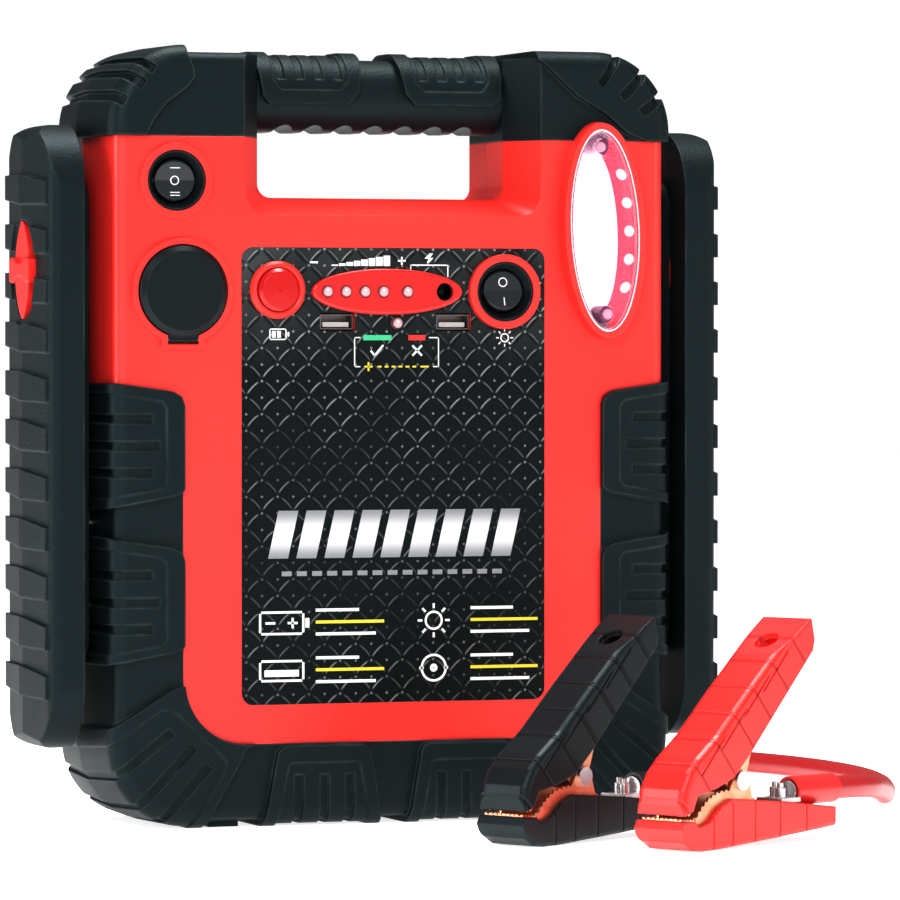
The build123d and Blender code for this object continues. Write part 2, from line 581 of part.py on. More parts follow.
def indicator():
    """Pod, its five lamps, the polarity lamp and the charging jack."""
    pod = along_y(Pos(*POD_AT) * Ellipse(POD_LONG, POD_TALL), FRONT - 2.2, FRONT)
    rim = pod.faces().sort_by(Axis.Y)[0].edges()
    pod = fillet(rim, 1.2)
    for led_x in LED_ROW:
        pod -= rod_y((led_x, POD_AT[1]), LED_RADIUS + 0.1, FRONT - 5, FRONT + 5)
    pod -= rod_y((JACK_X, POD_AT[1]), JACK_BORE, FRONT - 5, FRONT + 5)

    def led(at, base):
        dome = [(LED_RADIUS * math.sin(step * math.pi / 12),
                 base - LED_RADIUS * math.cos(step * math.pi / 12)) for step in range(7)]
        return turned(at, *dome, (LED_RADIUS, BOARD_Y), (0, BOARD_Y))

    leds = [led((led_x, POD_AT[1]), FRONT - 1.6) for led_x in LED_ROW]
    jack = ring_y((JACK_X, POD_AT[1]), JACK_BORE + 1.4, JACK_BORE - 0.2, FRONT + 0.02, BOARD_Y)
    jack += rod_y((JACK_X, POD_AT[1]), 1.0, FRONT + 3, BOARD_Y)
    jack += ring_y((JACK_X, POD_AT[1]), JACK_BORE + 1.4, 0.9, BOARD_Y - 1.5, BOARD_Y)
    return pod, leds, led(POLARITY_AT, FRONT - 0.6), jack


def label_plate():
    """Printed plate on the control face with cut-outs for the controls."""
    face = Pos(0, (LABEL_TOP + LABEL_BOTTOM) / 2) * RectangleRounded(
        LABEL_WIDTH - 0.2, LABEL_TOP - LABEL_BOTTOM - 0.2, 4.9)
    cuts = [Pos(*LIGHT_SWITCH_AT) * Circle(SWITCH_RING + 0.1), Pos(*BUTTON_AT) * Circle(
        BUTTON_RADIUS + 2), Pos(JACK_X, POD_AT[1]) * Circle(JACK_BORE + 1.5)]
    cuts += [Pos(x, POD_AT[1]) * Circle(LED_RADIUS + 0.2) for x in LED_ROW]
    cuts += [Pos(*POLARITY_AT) * Circle(LED_RADIUS + 0.1)]
    cuts += [Pos(x, USB_Z) * Rectangle(USB_WIDE + 2 * USB_ROOM, USB_TALL + 2 * USB_ROOM)
             for x in USB_XS]
    return along_y(face - cuts, FRONT + SEAT, FRONT + LABEL_THICK - SEAT)


def usb():
    """Metal shells and white tongues of the two USB ports."""
    shells, tongues = [], []
    for x in USB_XS:
        outer = Pos(x, USB_Z) * Rectangle(USB_WIDE, USB_TALL)
        inner = Pos(x, USB_Z) * Rectangle(USB_WIDE - 0.8, USB_TALL - 0.8)
        shell = along_y(outer, FRONT + USB_SET_BACK, BOARD_Y - 0.5)
        shell -= along_y(inner, FRONT, BOARD_Y - 1.5)
        shells.append(shell)
        tongue = Pos(x, USB_Z - 1.1) * Rectangle(USB_WIDE - 3, 2)
        tongues.append(along_y(tongue, FRONT + USB_SET_BACK + 1, BOARD_Y - 1.5))
    return shells, tongues


def lamp():
    """Bezel, clear lens, reflector bowl, light board and its two screws."""
    wide, long = LAMP_WIDE, LAMP_LONG
    inner_wide, inner_long = wide - LAMP_RIM, long - LAMP_RIM

    def oval(grow_w, grow_l, y):
        plane = Plane((0, y, 0), x_dir=(1, 0, 0), z_dir=(0, -1, 0))
        return plane * Ellipse(inner_wide + grow_w, inner_long + grow_l)

    crown = FRONT - FRONT_PROUD + 2.5
    outer = loft([oval(LAMP_RIM, LAMP_RIM, FRONT - SEAT), oval(LAMP_RIM - 0.8, LAMP_RIM - 0.8, crown)])
    inner = loft([oval(0, 0, FRONT + 1), oval(0, 0, crown - 1)])
    bezel = outer - inner
    dome = Pos(0, crown + 1.4, 0) * (scale(Sphere(1), by=(inner_wide - 0.2, 3.9, inner_long - 0.2))
                                     - scale(Sphere(1), by=(inner_wide - 1.6, 2.7, inner_long - 1.6)))
    lens = dome & block(-FAR, FAR, crown - 20, crown + 1.4, -FAR, FAR)
    skirt = loft([oval(-0.2, -0.2, crown + 3.4), oval(-0.2, -0.2, crown + 1.4)])
    skirt -= loft([oval(-1.6, -1.6, crown + 4), oval(-1.6, -1.6, crown + 1)])
    lens += skirt
    back = FRONT + 9
    bowl = loft([oval(-4.4, -7, back), oval(-0.3, -0.3, crown + 3.5)])
    bowl -= loft([oval(-5.6, -8.2, back - 1.2), oval(-1.4, -1.4, crown + 3.4)])
    well = [(0, side * LAMP_SCREW_UP) for side in (-1, 1)]
    posts = [rod_y(at, 3.6, crown + 2.6, back) for at in well]
    bores = [rod_y(at, 1.3, crown, back + 1) for at in well]
    bowl = bowl + posts - bores
    board = along_y(Ellipse(inner_wide - 3, inner_long - 6), back + SEAT, back + 1.6)
    board -= [rod_y(at, 1.3, crown, back + 3) for at in well]
    screws = [turned(at, (0, crown + 1.6), (1.9, crown + 1.6), (2.3, crown + 2.5), (1.2, crown + 2.5),
                     (1.2, back + 4), (0, back + 4)) for at in well]
    chips = [block(-1.75, 1.75, back - 2.4, back + SEAT, z - 1.4, z + 1.4) for z in LAMP_CHIPS]
    board = board - [rod_y(at, 1.3, crown, back + 3) for at in well]
    slots = [block(-2, 2, back - 3, back, z - 1.7, z + 1.7) for z in LAMP_CHIPS]
    pieces = [bezel, lens, bowl - slots, board, chips, screws]
    return [[lamp_place(item) for item in piece] if isinstance(piece, list) else lamp_place(piece)
            for piece in pieces]


def power_pack():
    """Battery with its terminals, the bracket over it and the control board."""
    wide, deep, tall = BATTERY
    low = BODY_BOTTOM + BUMPER + WALL + SEAT
    top = low + tall
    y0, y1 = PARTING - deep / 2, PARTING + deep / 2
    cell = block(-wide / 2, wide / 2, y0, y1, low, top - 4)
    cell += block(-wide / 2 + 2, wide / 2 - 2, y0 + 2, y1 - 2, top - 4, top)
    tabs = [block(x - 3.2, x + 3.2, y0 + 16, y0 + 16.8, top, top + 6.4) for x in (-62, 62)]
    tabs += [block(x - 4, x + 4, y0 + 12, y0 + 16, top, top + 3) for x in (-62, 62)]
    reach = SIDE - BUMPER - WALL - 1.5
    strap = block(-reach, reach, PARTING - 12, PARTING + 12, top + SEAT, top + 4)
    strap += [block(x - 2, x + 2, PARTING - 12, PARTING + 12, top + 3, top + 10) for x in (-40, 40)]
    x_low, x_high = BUTTON_AT[0] - 12, LIGHT_SWITCH_AT[0] - SWITCH_BORE - 1
    board = block(x_low, x_high, BOARD_Y + SEAT, BOARD_Y + 1.6, 198, 240)
    return cell, tabs, strap, board


def gland(at):
    """Cable gland: flange outside the back wall, body inside it and a tapered boot."""
    bore = CABLE / 2 + 0.05
    return turned(at, (bore, BACK + 2), (bore, BACK + 20), (bore + 1.2, BACK + 20),
                  (bore + 2.6, BACK + 4), (GLAND + 2, BACK + 3), (GLAND + 2, BACK + SEAT),
                  (GLAND - 0.1, BACK + SEAT), (GLAND - 0.1, BACK - GLAND_IN), (0, BACK - GLAND_IN),
                  (0, BACK + 2))


# ---- clamps: drawn with the nose at the origin, the handles towards +X -----------------
def clamp_place(shape, at):
    """Put a clamp piece on the floor with its nose at (x, y)."""
    return Pos(at[0], at[1], 0) * Rot(0, 0, CLAMP_HEADING) * shape


def across(face, half):
    """Carry a side view, drawn in X and Z, across the clamp to both sides."""
    return along_y(face, -half, half)


def toothed(start, end, count, depth, bulge=0.0):
    """Zigzag of points from start to end; bulge pushes the middle of the row sideways."""
    (x0, z0), (x1, z1) = start, end
    length = math.hypot(x1 - x0, z1 - z0)
    nx, nz = -(z1 - z0) / length, (x1 - x0) / length
    points = []
    for step in range(2 * count + 1):
        share = step / (2 * count)
        side = bulge * 4 * share * (1 - share) + (depth if step % 2 else 0.0)
        points.append((x0 + (x1 - x0) * share + nx * side, z0 + (z1 - z0) * share + nz * side))
    return points


LOWER_EDGE = [(0, 12.4), (-1.6, 9), (0.5, 4), (6, 0.6), (12, 0), (22, 0.2), (58, 2.6), (96, 5.4)]
LOWER_TOP = [(96, 13.4), (62, 17.4), (30, 20), (23, 17), (15.5, 11.2), (9, 9.8), (6.5, 12.2)]
UPPER_EDGE = [(0, 14.8), (5.2, 16.4), (8, 22.4), (20, 24.8), (31, 28.8), (42, 38.6), (81, 77.6)]
UPPER_TOP = [(82, 82), (80, 90.4), (58.4, 76.6), (41.6, 62.6), (22.8, 46), (10, 37),
             (4, 31.5), (0, 25), (-1, 20)]
PLATE = 1.2               # sheet of the copper jaws
FRONT_TEETH = [2.3 * step for step in range(-3, 4)]
GRIP_WALL = 2.2
GROOVE = 0.6


def grooves(face, marks, lean):
    """Shallow grooves round a grip at the given points of its side view."""
    core = across(offset(face, -GROOVE), CLAMP_WIDTH / 2 - GROOVE)
    return [Pos(x, 0, z) * Rot(0, lean, 0) * Box(0.8, CLAMP_WIDTH + 4, 22) - core
            for x, z in marks]


def lower_grip():
    """Lower plastic grip: a channel open at the top, rounded below, with grooves round it."""
    half = CLAMP_WIDTH / 2
    face = Polygon(*LOWER_EDGE, *LOWER_TOP, align=None)
    solid = across(face, half)
    under = [edge for edge in solid.edges() if abs(edge.center().Y) > half - 0.1
             and edge.center().Z < 3.8]
    solid = fillet(under, 2)
    hollow = Polygon((2.5, 30), (2.5, 8.6), (5, 4.6), (12, 2.4), (22, 2.5), (58, 4.9), (93.6, 7.6),
                     (93.6, 30), align=None)
    solid -= across(hollow, half - GRIP_WALL)
    return solid - grooves(face, [(x, 8) for x in (18, 30, 44, 60, 77)], 0)


def upper_grip():
    """Upper plastic grip: a channel open below, rounded above, grooved, with an eyelet."""
    half = CLAMP_WIDTH / 2
    face = Polygon(*UPPER_EDGE, *UPPER_TOP, align=None)
    solid = across(face, half)
    crown = [edge for edge in solid.edges() if abs(edge.center().Y) > half - 0.1
             and edge.center().X - edge.center().Z < -15.5 and edge.center().Z > 20]
    solid = fillet(crown, 3.6)
    hollow = Polygon((0.8, 8), (0.8, 22), (2.8, 25.5), (7, 31), (12, 35.6), (24, 44), (42, 59.6),
                     (62, 75.6), (77.6, 85.8), (79, 80), (84, 70), (42, 20), align=None)
    solid -= across(hollow, half - GRIP_WALL)
    eyelet = Pos(66.5, 0, 81.8) * Rot(0, -33, 0) * Cylinder(5.2, 12)
    marks = [(18, 38), (31, 48), (45, 60.5), (57, 70)]
    return solid - eyelet - grooves(face, marks, 45)


def jaws():
    """Copper jaws with teeth along their edges; the upper pair runs inside the lower one."""
    outer = CLAMP_WIDTH / 2 - GRIP_WALL - 0.2
    bite = toothed((8.2, 13.3), (0.6, 13.5), 4, 0.7)
    throat = toothed((30.5, 23), (9.2, 11.4), 9, -1.1, bulge=-3.4)
    low_face = Polygon((0.6, 12.5), (2.8, 12.5), (2.8, 9), (5.4, 5.0), (12, 2.9), (22, 3.0),
                       (58, 5.4), (88, 7.7), (88, 11.6), (52, 16.4), (45, 20), (42.5, 28),
                       (38.6, 31.4), (34.2, 29.4), *throat, *bite, align=None)
    plates = across(low_face, outer) - across(low_face, outer - PLATE)
    floor_face = Polygon((12, 3.0), (22, 3.0), (58, 5.4), (88, 7.7), (88, 8.9), (58, 6.6), (22, 4.2),
                         (12, 4.2), align=None)
    hole = Pos(PIVOT_ALONG, PIVOT_UP) * Circle(PIN + 0.06)
    teeth = [block(0.6, 1.8, y - 0.9, y + 0.9, 12.5, 13.5) for y in FRONT_TEETH]
    lip = block(0.6, 2.4, -outer, outer, 12.5, 12.9)
    lower = plates + across(floor_face, outer) + lip + teeth - across(hole, FAR)
    inner = outer - PLATE - 0.3
    bite = toothed((0.8, 15.2), (8.0, 14.9), 4, -0.9)
    throat = toothed((9.0, 16.4), (31.5, 24.6), 9, 1.1, bulge=6.4)
    high_face = Polygon(*bite, *throat, (34.4, 23.6), (38.6, 22.6), (42, 25.6), (46.4, 39), (67, 62),
                        (63, 68), (24.4, 37), (8, 29), (3.4, 26), (1.2, 21), align=None)
    plates = across(high_face, inner) - across(high_face, inner - PLATE)
    roof = Polygon((8, 29), (24.4, 37), (60, 65.8), (61, 64.6), (25, 35.6), (8.6, 27.8), align=None)
    upper = plates + across(roof, inner) - across(hole, FAR)
    return lower, upper


def clamp_fittings():
    """Pivot rivet, torsion spring, and the cable lug with its two bolts."""
    outer = CLAMP_WIDTH / 2 - GRIP_WALL - 0.2
    at = Pos(PIVOT_ALONG, PIVOT_UP)
    pin = across(at * Circle(PIN), outer + 0.1)
    pin += along_y(at * Circle(4), outer, outer + 1.6) + along_y(at * Circle(4), -outer - 1.6, -outer)
    spring = across(at * (Circle(5.2) - Circle(PIN + 0.3)), outer - 2 * PLATE - 1.2)
    plate = block(68, LUG_END - 5.5, -6.5, 6.5, LUG_Z - 4, LUG_Z - 2)
    leg = block(68, 74, -6.5, 6.5, 7.95, LUG_Z - 2)
    barrel = along_x(Pos(0, LUG_Z) * Circle(CABLE / 2 - 0.4), LUG_END - 6, LUG_END)
    neck = block(LUG_END - 6, LUG_END - 2, -3.5, 3.5, LUG_Z - 3, LUG_Z)
    bolts = [Pos(x, y, LUG_Z) * Cylinder(2.2, 4) + Pos(x, y, LUG_Z + 1.6) * Cylinder(1.3, 5)
             for x, y in ((71.5, -3.2), (75.8, 3.2))]
    return pin, spring, plate + leg + barrel + neck + bolts


def clamp_point(at, along, up):
    """Point over the middle line of a clamp, in the pack's frame."""
    turn = math.radians(CLAMP_HEADING)
    return (at[0] + along * math.cos(turn), at[1] + along * math.sin(turn), up)


def cable(name, points):
    """Cable tube along straight runs with tangent arcs; prints its radii and its length."""
    corners = [Vector(*point) for point in points]
    runs = [b - a for a, b in zip(corners, corners[1:])]
    radii = []
    for before, after in zip(runs, runs[1:]):
        turn = math.radians(before.get_angle(after))
        radii.append(0.45 * min(before.length, after.length) / math.tan(turn / 2))
    path = FilletPolyline(*points, radius=radii)
    start = Plane(path @ 0, z_dir=path % 0)
    tube = sweep(start * Circle(CABLE / 2), path=path)
    expected = math.pi * (CABLE / 2) ** 2 * path.length
    print(name, "length", round(path.length, 1), "runs", [round(run.length) for run in runs],
          "radii", [round(radius) for radius in radii], "volume ratio",
          round(tube.volume / expected, 4))
    return tube


LIE = CABLE / 2 + 0.1     # centre of a cable that lies on the floor
RED_ROUTE = [
    (40, BACK + 2, GLAND_Z), (40, 93, GLAND_Z), (44, 140, 46), (54, 186, 16), (84, 230, LIE),
    (130, 257, LIE), (182, 264, LIE), (228, 246, LIE), (256, 206, LIE), (269, 154, LIE),
    (270, 98, LIE), (259, 44, LIE), (238, -8, 5.6), (215, -58, 9), (192, -104, 15)]
BLACK_ROUTE = [
    (70, BACK + 2, GLAND_Z), (70, 88, GLAND_Z), (75, 132, 46), (86, 172, 16), (114, 200, LIE),
    (152, 204, LIE), (184, 184, LIE), (200, 146, LIE), (198, 98, LIE), (185, 48, LIE),
    (162, -4, 6.4), (140, -57, 13)]


def lead(name, route, at):
    """Cable of one clamp, from its gland to the lug, and the shrink boot over its end."""
    mouth = clamp_point(at, LUG_END + LEAD_END, LUG_Z)
    end = clamp_point(at, LUG_END, LUG_Z)
    tube = cable(name, route + [mouth, end])
    bore = Circle(CABLE / 2 + 0.05)
    sleeve = Circle(CABLE / 2 + 1.3) - bore
    boot = along_x(Pos(0, LUG_Z) * sleeve, LUG_END - 5, LUG_END + LEAD_END / 2)
    return tube, clamp_place(boot, at)


print("body", round(2 * SIDE, 1), BODY_DEPTH, BODY_TOP)
SHELL = housing_shell()
save("front_housing", front_housing(SHELL))
save("rear_housing", rear_housing(SHELL))
bumper = lower_bumper()
save("lower_bumper_front", bumper)
save("lower_bumper_rear", mirrored_y(bumper))
save("top_cap_left", top_cap(LEFT_ZONE, LEFT_CUTS))
right_cap = mirrored_x(top_cap(RIGHT_ZONE, RIGHT_CUTS))
save("top_cap_right", right_cap - lamp_hole(CLEARANCE))
grip, core, grip_pads = handle()
save("handle_grip", grip)
save("handle_core", core)
save("grip_pads", grip_pads)
left_wing, left_hub = wing()
save("wing_left", left_wing)
save("wing_right", mirrored_x(left_wing))
save("wing_hubs", solids(left_hub, mirrored_x(left_hub)))
left_dock = clamp_dock()
save("clamp_docks", solids(left_dock, mirrored_x(left_dock)))
head_at = DRAFT_STEP + WALL + BUMPER - SIDE
tip_at = -SIDE - WING_GAP - WING_SCREW_BITE + CLEARANCE
wing_screw = [along_x(Pos(WING_SCREW_Y, z) * Circle(SCREW), tip_at, head_at)
              + along_x(Pos(WING_SCREW_Y, z) * Circle(SCREW_HEAD), head_at - 2, head_at)
              for z in WING_SCREW_ZS]
save("wing_screws", solids(*wing_screw, *[mirrored_x(item) for item in wing_screw]))
save("housing_screws", solids(*[
    turned(at, (0, PARTING - 14), (SCREW, PARTING - 14), (SCREW, BACK - COUNTERBORE),
           (SCREW_HEAD, BACK - COUNTERBORE), (SCREW_HEAD, BACK - COUNTERBORE + 1.6),
           (SCREW_HEAD - 1.4, BACK - COUNTERBORE + 2.6), (0, BACK - COUNTERBORE + 2.6))
    for at in SCREWS]))
save("label_plate", label_plate())
pod, leds, polarity_led, jack = indicator()
save("indicator_pod", pod)
save("indicator_leds", solids(*leds))
save("polarity_led", polarity_led)
save("charge_jack", jack)
bezel, button, spring = battery_check()
save("button_bezel", bezel)
save("battery_check_button", button)
save("button_spring", spring)
save("output_switch_body", rocker_body(OUTPUT_SWITCH_AT, 1.5))
save("output_rocker", rocker(OUTPUT_SWITCH_AT, 1.5, 0))
save("light_switch_body", rocker_body(LIGHT_SWITCH_AT, 3))
save("light_rocker", rocker(LIGHT_SWITCH_AT, 3, -ROCKER_THROW))
liner, holder, contact, cap, hinge_pin = power_socket()
save("socket_liner", liner)
save("socket_holder", holder)
save("socket_contact", contact)
save("socket_cap", cap)
save("socket_hinge_pin", hinge_pin)
shells, tongues = usb()
save("usb_shells", solids(*shells))
save("usb_tongues", solids(*tongues))
lamp_bezel, lens, bowl, light_board, chips, lamp_screws = lamp()
save("lamp_bezel", lamp_bezel)
save("lamp_lens", lens)
save("lamp_reflector", bowl)
save("lamp_board", light_board)
save("lamp_chips", solids(*chips))
save("lamp_screws", solids(*lamp_screws))
cell, tabs, strap, board = power_pack()
save("battery", cell)
save("battery_terminals", solids(*tabs))
save("battery_strap", strap)
save("control_board", board)
save("cable_glands", solids(*[gland(at) for at in GLAND_AT.values()]))

low_grip, high_grip = lower_grip(), upper_grip()
low_jaw, high_jaw = jaws()
pin, coil, lug = clamp_fittings()
CLAMPS = {"red": (RED_CLAMP_AT, RED_ROUTE), "black": (BLACK_CLAMP_AT, BLACK_ROUTE)}
rivets, lugs, springs = [], [], []
for colour, (at, route) in CLAMPS.items():
    save(f"{colour}_clamp_lower_grip", clamp_place(low_grip, at))
    save(f"{colour}_clamp_upper_grip", clamp_place(high_grip, at))
    save(f"{colour}_clamp_lower_jaw", clamp_place(low_jaw, at))
    save(f"{colour}_clamp_upper_jaw", clamp_place(high_jaw, at))
    rivets.append(clamp_place(pin, at))
    lugs.append(clamp_place(lug, at))
    springs.append(clamp_place(coil, at))
    tube, boot = lead(colour, route, at)
    save(f"{colour}_cable", tube)
    save(f"{colour}_cable_boot", boot)
save("clamp_rivets", solids(*rivets))
save("cable_lugs", solids(*lugs))
save("clamp_springs", solids(*springs))
print("rocker pivots", FRONT - 1.5 + 6.6, FRONT - 3 + 6.6, "hinge", HINGE_Y, HINGE_Z)
for colour, (at, route) in CLAMPS.items():
    print(colour, "pivot", [round(value, 3) for value in clamp_point(at, PIVOT_ALONG, PIVOT_UP)])
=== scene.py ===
# %% [markdown]
# # A jump starter pack, finished over its CAD parts
# The CAD frame gives every hard piece its shape and place in metres, with +Z up and the controls
# facing -Y. This script adds what CAD leaves plain: finishes, moulded marks, cords, print and light.
# Each step says what a piece is, how it could be made, and why it is made this way.

import math

import bpy
import numpy as np
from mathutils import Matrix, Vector


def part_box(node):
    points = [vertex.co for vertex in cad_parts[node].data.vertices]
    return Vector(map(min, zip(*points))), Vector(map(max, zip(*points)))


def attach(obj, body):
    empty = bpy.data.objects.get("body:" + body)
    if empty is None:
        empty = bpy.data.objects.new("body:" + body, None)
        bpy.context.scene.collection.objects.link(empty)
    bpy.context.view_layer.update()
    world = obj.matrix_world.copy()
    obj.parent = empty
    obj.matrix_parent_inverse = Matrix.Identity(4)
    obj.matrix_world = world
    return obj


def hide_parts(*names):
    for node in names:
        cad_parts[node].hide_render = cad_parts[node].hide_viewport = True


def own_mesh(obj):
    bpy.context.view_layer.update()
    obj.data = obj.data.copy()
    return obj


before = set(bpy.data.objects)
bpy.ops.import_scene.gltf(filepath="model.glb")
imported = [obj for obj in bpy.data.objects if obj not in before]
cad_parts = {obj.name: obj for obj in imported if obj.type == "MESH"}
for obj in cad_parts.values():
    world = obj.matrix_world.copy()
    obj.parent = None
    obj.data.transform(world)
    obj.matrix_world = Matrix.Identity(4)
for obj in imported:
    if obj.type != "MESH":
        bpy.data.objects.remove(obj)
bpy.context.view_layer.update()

# %% [markdown]
# ## Camera
# A long lens far away keeps the verticals parallel and the front nearly flat. A short lens close by
# would show more of the sides and bend the proportions, so the camera stands 2.5 m back at 20 degrees
# to the left, and looks down by one degree.

# %% Camera
camera_data = bpy.data.cameras.new("camera")
camera_data.lens = 238.8
camera_data.sensor_width = 36.0
camera_data.clip_end = 20.0
camera = bpy.data.objects.new("camera", camera_data)
camera.location = (-0.83642, -2.40125, 0.19997)
camera.rotation_euler = (math.radians(90 - 0.979), 0, math.radians(-20))
bpy.context.collection.objects.link(camera)
bpy.context.scene.camera = camera

# %% [markdown]
# ## Leads
# Each clamp lead is a round cable of fixed length that leaves a gland at the back, drops to the floor
# and runs to its clamp. It could be a swept mesh, a simulated rope or a spline. A NURBS spline through
# the CAD tube's corner points gives an even round section and follows the tube, so that the plugged
# ends stay where the clamps need them.

# %% Leads
CABLE = 0.0095
LIE = 4.85
LUG_Z = 19.8


def on_clamp(at, along, up):
    """Point over a clamp's middle line: (x, y) + along*(cos 28, sin 28), in millimetres."""
    turn = math.radians(28)
    return (at[0] + along * math.cos(turn), at[1] + along * math.sin(turn), up)


RED_AT, BLACK_AT = (50.9, -207.8), (0.2, -164.3)
RED_ROUTE = [
    (40, 43, 66), (40, 93, 66), (44, 140, 46), (54, 186, 16), (84, 230, LIE),
    (130, 257, LIE), (182, 264, LIE), (228, 246, LIE), (256, 206, LIE), (269, 154, LIE),
    (270, 98, LIE), (259, 44, LIE), (238, -8, 5.6), (215, -58, 9), (192, -104, 15),
    on_clamp(RED_AT, 130, LUG_Z), on_clamp(RED_AT, 86, LUG_Z)]
BLACK_ROUTE = [
    (70, 43, 66), (70, 88, 66), (75, 132, 46), (86, 172, 16), (114, 200, LIE),
    (152, 204, LIE), (184, 184, LIE), (200, 146, LIE), (198, 98, LIE), (185, 48, LIE),
    (162, -4, 6.4), (140, -57, 13),
    on_clamp(BLACK_AT, 130, LUG_Z), on_clamp(BLACK_AT, 86, LUG_Z)]


def spline(name, route):
    """NURBS curve of order 3 with route (mm) as its control points and a round section."""
    data = bpy.data.curves.new(name, "CURVE")
    data.dimensions = "3D"
    line = data.splines.new("NURBS")
    line.points.add(len(route) - 1)
    points = np.ones((len(route), 4))
    points[:, :3] = np.array(route) / 1000
    line.points.foreach_set("co", points.ravel())
    line.order_u = 3
    line.use_endpoint_u = True
    line.resolution_u = 24
    line.points.foreach_set("radius", np.full(len(route), CABLE / 2))
    data.bevel_depth = 1.0  # the point radii above carry the size
    data.bevel_resolution = 8
    data.use_fill_caps = True
    obj = bpy.data.objects.new(name, data)
    bpy.context.collection.objects.link(obj)
    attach(obj, "pack")
    return obj


def spline_length(route):
    """Length of the quadratic NURBS: each inner corner is a parabola between edge midpoints."""
    p = np.array(route, float) / 1000
    mids = (p[1:] + p[:-1]) / 2
    starts = np.vstack([p[:1], mids[1:-1]])
    ends = np.vstack([mids[1:-1], p[-1:]])
    t = np.linspace(0, 1, 40)[None, :, None]
    arcs = (1 - t) ** 2 * starts[:, None] + 2 * t * (1 - t) * p[1:-1, None] + t ** 2 * ends[:, None]
    return float(np.linalg.norm(np.diff(arcs, axis=1), axis=2).sum())


red_cable = spline("red_lead", RED_ROUTE)
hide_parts("red_cable")
black_cable = spline("black_lead", BLACK_ROUTE)
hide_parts("black_cable")
for cable, route in ((red_cable, RED_ROUTE), (black_cable, BLACK_ROUTE)):
    tuple(v / 1000 for v in route[0])
    print(cable.name, "length", round(spline_length(route), 3))

# %% [markdown]
# ## Material nodes as arithmetic
# A material is a sum of masks. Wiring nodes one by one hides the sum, so a small class stands for a
# socket and overloads the operators: `a * b + 1` makes two maths nodes. Every node is made by one
# method, `Sheet.node`.

# %% Socket arithmetic


class Sock:
    """A node output or a number that maths operators combine into new nodes."""

    def __init__(self, sheet, out):
        self.sheet, self.out = sheet, out

    def _m(self, op, *others, clamp=False):
        return self.sheet.node("ShaderNodeMath", [self, *others], operation=op, use_clamp=clamp)

    def __add__(self, o): return self._m("ADD", o)
    def __radd__(self, o): return self._m("ADD", o)
    def __sub__(self, o): return self._m("SUBTRACT", o)
    def __rsub__(self, o): return self.sheet.node("ShaderNodeMath", [o, self], operation="SUBTRACT")
    def __mul__(self, o): return self._m("MULTIPLY", o)
    def __rmul__(self, o): return self._m("MULTIPLY", o)
    def __truediv__(self, o): return self._m("DIVIDE", o)
    def __rtruediv__(self, o): return self.sheet.node("ShaderNodeMath", [o, self], operation="DIVIDE")
    def __pow__(self, o): return self._m("POWER", o)
    def abs(self): return self._m("ABSOLUTE")
    def floor(self): return self._m("FLOOR")
    def sqrt(self): return self._m("SQRT")
    def max(self, o): return self._m("MAXIMUM", o)
    def mod(self, o): return self._m("FLOORED_MODULO", o)
    def clamp(self): return self._m("ADD", 0.0, clamp=True)

    def ramp(self, low, high):
        """0 at low, 1 at high, smooth between."""
        return self.sheet.node("ShaderNodeMapRange", [self, low, high, 0.0, 1.0],
                               interpolation_type="SMOOTHSTEP")

    def wave(self, pitch):
        """Distance from the nearest whole multiple of pitch."""
        return ((self + pitch / 2).mod(pitch) - pitch / 2).abs()


